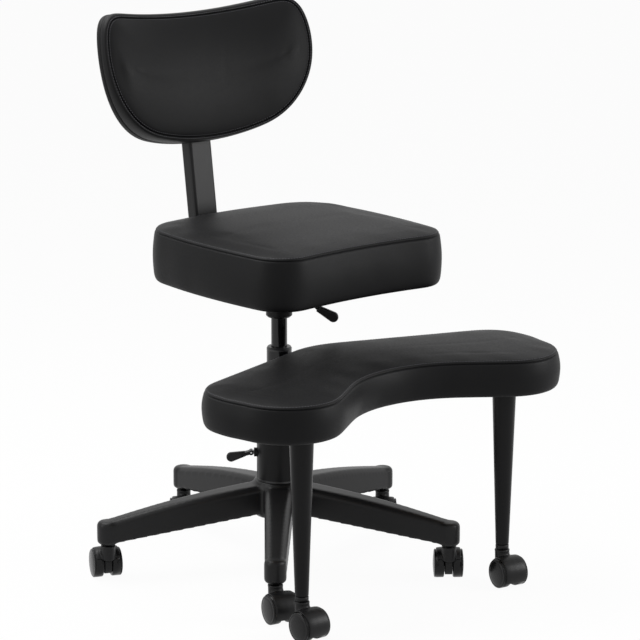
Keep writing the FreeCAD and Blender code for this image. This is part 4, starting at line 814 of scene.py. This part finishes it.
# %% Leg collars
LEG_X, LEG_Y = 225.0, -335.0
LEG_COLLAR_RADIUS, LEG_COLLAR_TOP = 11.5, 70.5
collar = turned([
    (0, TIP_LOW), (LEG_COLLAR_RADIUS - 1, TIP_LOW), (LEG_COLLAR_RADIUS, TIP_LOW + 1),
    (LEG_COLLAR_RADIUS, LEG_COLLAR_TOP - 1), (LEG_COLLAR_RADIUS - 1, LEG_COLLAR_TOP), (0, LEG_COLLAR_TOP)], 40)
piece("leg_collars", [collar + np.array([side * LEG_X, LEG_Y, 0]) for side in (-1, 1)], moulded_nylon,
      "leg_rest")

# %% [markdown]
# ## Castors
# A twin-wheel castor: a hood that wraps the treads of both wheels and rises to a neck round the stem, and two
# wheels whose domed outer faces stand clear of the hood. One castor is made with its stem on the Z axis and
# its wheels trailing along +X, and is then turned to each place.

# %% Castor hood
WHEEL_RADIUS, TRAIL = 25.0, 20.0
HOOD_HALF, HOOD_OUTER, HOOD_WALL = 21.4, 27.6, 2.1
HOOD_SKIRT, HOOD_BROW, HOOD_CROWN, HOOD_SQUARE = -30.0, 150.0, 0.9, 0.35
HOOD_TOP, NECK_LOW, NECK_RADIUS = 61.9, 36.0, 12.5
NECK_SPREAD, NECK_FLARE, NECK_RIM, RIM_FROM, RIM_TO = 7.0, 1.5, 0.5, 0.83, 0.95
WEB_RADIUS, WEB_HALF, WEB_FOOT = 23.5, 6.5, 9.0
HOOD_VOXEL, HOOD_ROUNDS, HOOD_COLUMNS = 0.9, 4, 48


def fender_grid():
    """A flat ring section, rounded at its edges, carried round the axle from the skirt to the brow."""
    angle = np.radians(np.linspace(HOOD_SKIRT, HOOD_BROW, 40))[:, None]
    round_off = np.linspace(0, 2 * np.pi, HOOD_COLUMNS, endpoint=False)[None, :]
    squared = np.sign(np.cos(round_off)) * np.abs(np.cos(round_off)) ** HOOD_SQUARE
    across = HOOD_HALF * squared * np.ones_like(angle)
    crown = HOOD_CROWN * (1 - (across / HOOD_HALF) ** 2)
    radius = HOOD_OUTER - HOOD_WALL / 2 + HOOD_WALL / 2 * np.sin(round_off) + crown
    grid = np.stack([TRAIL + radius * np.cos(angle), across, WHEEL_RADIUS + radius * np.sin(angle)], axis=-1)
    return capped(grid)


def neck_grid():
    """The neck: ellipses stacked from the hood's shoulder, wide along the trail, up to the round top."""
    share = np.linspace(0, 1, 18)[:, None]
    angle = np.linspace(0, 2 * np.pi, HOOD_COLUMNS, endpoint=False)[None, :]
    spread = (1 - share) ** 2
    long, wide = NECK_RADIUS + NECK_SPREAD * spread, NECK_RADIUS + NECK_FLARE * spread
    height = NECK_LOW + (HOOD_TOP - NECK_LOW) * share
    rim = np.where((share > RIM_FROM) & (share < RIM_TO), NECK_RIM, 0)
    x = NECK_SPREAD * spread + (long + rim) * np.cos(angle)
    y = (wide + rim) * np.sin(angle)
    grid = np.stack([x, y, np.broadcast_to(height, x.shape)], axis=-1)
    return capped(grid)


def web_grid():
    """The web between the wheels: a disc about the axle, cut flat at its foot."""
    angle = np.linspace(0, 2 * np.pi, 64, endpoint=False)
    height = np.maximum(WHEEL_RADIUS + WEB_RADIUS * np.sin(angle), WEB_FOOT)
    disc = np.stack([TRAIL + WEB_RADIUS * np.cos(angle), height], axis=1)
    rows = []
    for across, share in ((-WEB_HALF, 0.0), (-WEB_HALF, 1.0), (WEB_HALF, 1.0), (WEB_HALF, 0.0)):
        ring = np.array([TRAIL, WHEEL_RADIUS]) + (disc - [TRAIL, WHEEL_RADIUS]) * share
        rows.append(np.stack([ring[:, 0], np.full(len(ring), across), ring[:, 1]], axis=1))
    return np.stack(rows)


# %% Castor wheels
def wheel_grid(side):
    """A wheel turned about its axle: tread, a shadow groove at the rim, and a domed face with a fine ring."""
    profile = [
        (0, 7.6), (22.5, 7.6), (24.4, 8.4), (25, 10), (25, 21.4), (24.3, 21.8), (24.3, 22.2), (25, 22.6),
        (25, 23.4), (24.5, 24.4), (23.4, 25.0), (21.8, 25.3), (21.2, 25.0), (20.6, 25.3), (16, 26.0),
        (11, 26.5), (6, 26.8), (0, 26.9)]
    grid = turned(profile, 64)
    return np.stack([TRAIL + grid[..., 0], side * grid[..., 2], WHEEL_RADIUS + grid[..., 1]], axis=-1)


# %% Seven castors
# degrees from +X to the way each castor trails
BASE_TRAILS = (-129.0, -129.0, 67.0, -102.0, 51.0)
LEG_TRAILS = (-90.0, -99.0)
spots = [(BASE_RADIUS * np.cos(a), BASE_RADIUS * np.sin(a), trail) for a, trail in
         zip(np.radians(BASE_TURN + 360 / ARMS * np.arange(ARMS)), BASE_TRAILS)]
spots += [(-LEG_X, LEG_Y, LEG_TRAILS[0]), (LEG_X, LEG_Y, LEG_TRAILS[1])]
hood_grids = [fender_grid(), neck_grid(), web_grid()]
wheel_grids = [wheel_grid(1), wheel_grid(-1)]
for number, (x, y, trail) in enumerate(spots, start=1):
    fused(f"hood_{number}", [spun(grid, trail, x, y) for grid in hood_grids], HOOD_VOXEL, HOOD_ROUNDS,
          moulded_nylon, f"castor_{number}", [f"castor_hood_{number}"])
    piece(f"wheel_pair_{number}", [spun(grid, trail, x, y) for grid in wheel_grids], castor_nylon,
          f"wheels_{number}", [f"castor_wheels_{number}"])

# %% [markdown]
# ## Floor, light and camera
# The photograph was taken on white. The floor and the world show white to the camera and in reflections, and
# light the chair at a plain level otherwise. A large soft box hangs over the chair, and two tall ones stand at
# its sides and draw the bright edges on tubes and pads.

# %% Floor and world
def seen_directly(tree):
    """1 for camera, glossy and transmission rays, 0 for the rays that carry light."""
    path = add(tree, "ShaderNodeLightPath", {}, {})
    first = add(tree, "ShaderNodeMath", {"operation": "MAXIMUM"},
                {0: path.outputs["Is Camera Ray"], 1: path.outputs["Is Glossy Ray"]})
    second = add(tree, "ShaderNodeMath", {"operation": "MAXIMUM"},
                 {0: first.outputs[0], 1: path.outputs["Is Transmission Ray"]})
    return second.outputs[0]


WHITE, FLOOR_HALF = (1.0, 1.0, 1.0, 1.0), 12.0
FILL_LIGHT, FLOOR_GLOW = 0.35, 0.95
world = bpy.data.worlds.new("white_studio")
bpy.context.scene.world = world
world.use_nodes = True
sky = world.node_tree
sky.nodes.clear()
fill = add(sky, "ShaderNodeBackground", {}, {"Color": WHITE, "Strength": FILL_LIGHT})
white = add(sky, "ShaderNodeBackground", {}, {"Color": WHITE, "Strength": 1.0})
both = add(sky, "ShaderNodeMixShader", {}, {0: seen_directly(sky), 1: fill.outputs[0], 2: white.outputs[0]})
add(sky, "ShaderNodeOutputWorld", {}, {"Surface": both.outputs[0]})

floor_mesh = bpy.data.meshes.new("studio_floor")
corners = [(x * FLOOR_HALF, y * FLOOR_HALF, 0) for x, y in ((-1, -1), (1, -1), (1, 1), (-1, 1))]
floor_mesh.from_pydata(corners, [], [(0, 1, 2, 3)])
floor = bpy.data.objects.new("studio_floor", floor_mesh)
bpy.context.scene.collection.objects.link(floor)
floor_paper = bpy.data.materials.new("white_paper_floor")
floor_paper.use_nodes = True
paper = floor_paper.node_tree
paper.nodes.clear()
matt = add(paper, "ShaderNodeBsdfDiffuse", {}, {"Color": linear("#f4f4f4")})
glow = add(paper, "ShaderNodeEmission", {}, {"Color": WHITE, "Strength": 1.0})
share = add(paper, "ShaderNodeMath", {"operation": "MULTIPLY"}, {0: seen_directly(paper), 1: FLOOR_GLOW})
sheet = add(paper, "ShaderNodeMixShader", {}, {0: share.outputs[0], 1: matt.outputs[0], 2: glow.outputs[0]})
add(paper, "ShaderNodeOutputMaterial", {}, {"Surface": sheet.outputs[0]})
floor_mesh.materials.append(floor_paper)
print("floor", 2 * FLOOR_HALF, "m wide, fill light", FILL_LIGHT)


# %% Lamps and camera
def soft_box(name, place, target, size, watts):
    """A rectangular area lamp that faces a target."""
    lamp = bpy.data.lights.new(name, "AREA")
    lamp.shape = "RECTANGLE"
    lamp.size, lamp.size_y = size
    lamp.energy = watts
    obj = bpy.data.objects.new(name, lamp)
    obj.location = place
    obj.rotation_euler = (Vector(target) - Vector(place)).to_track_quat("-Z", "Y").to_euler()
    bpy.context.scene.collection.objects.link(obj)


soft_box("overhead_box", (-0.4, 0.7, 2.3), (0.0, -0.2, 0.5), (1.6, 1.4), 36.0)
soft_box("left_box", (-2.2, 0.6, 1.2), (0.0, 0.0, 0.5), (0.7, 1.8), 14.0)
soft_box("right_box", (1.5, -1.7, 1.15), (0.0, 0.2, 0.85), (1.0, 1.2), 27.0)

CAMERA_PLACE, CAMERA_LOOK = (-3.4156, -4.2180, 1.725), (0.6223, 0.7482, -0.2300)
camera = bpy.data.cameras.new("photo_camera")
camera.lens, camera.sensor_width = 180.0, 36.0
camera.clip_end = 50.0
camera_object = bpy.data.objects.new("photo_camera", camera)
camera_object.location = CAMERA_PLACE
camera_object.rotation_euler = Vector(CAMERA_LOOK).to_track_quat("-Z", "Y").to_euler()
bpy.context.scene.collection.objects.link(camera_object)
bpy.context.scene.camera = camera_object
bpy.context.scene.view_settings.view_transform = "Standard"
print("camera at", CAMERA_PLACE, "with a lens of", camera.lens, "mm")
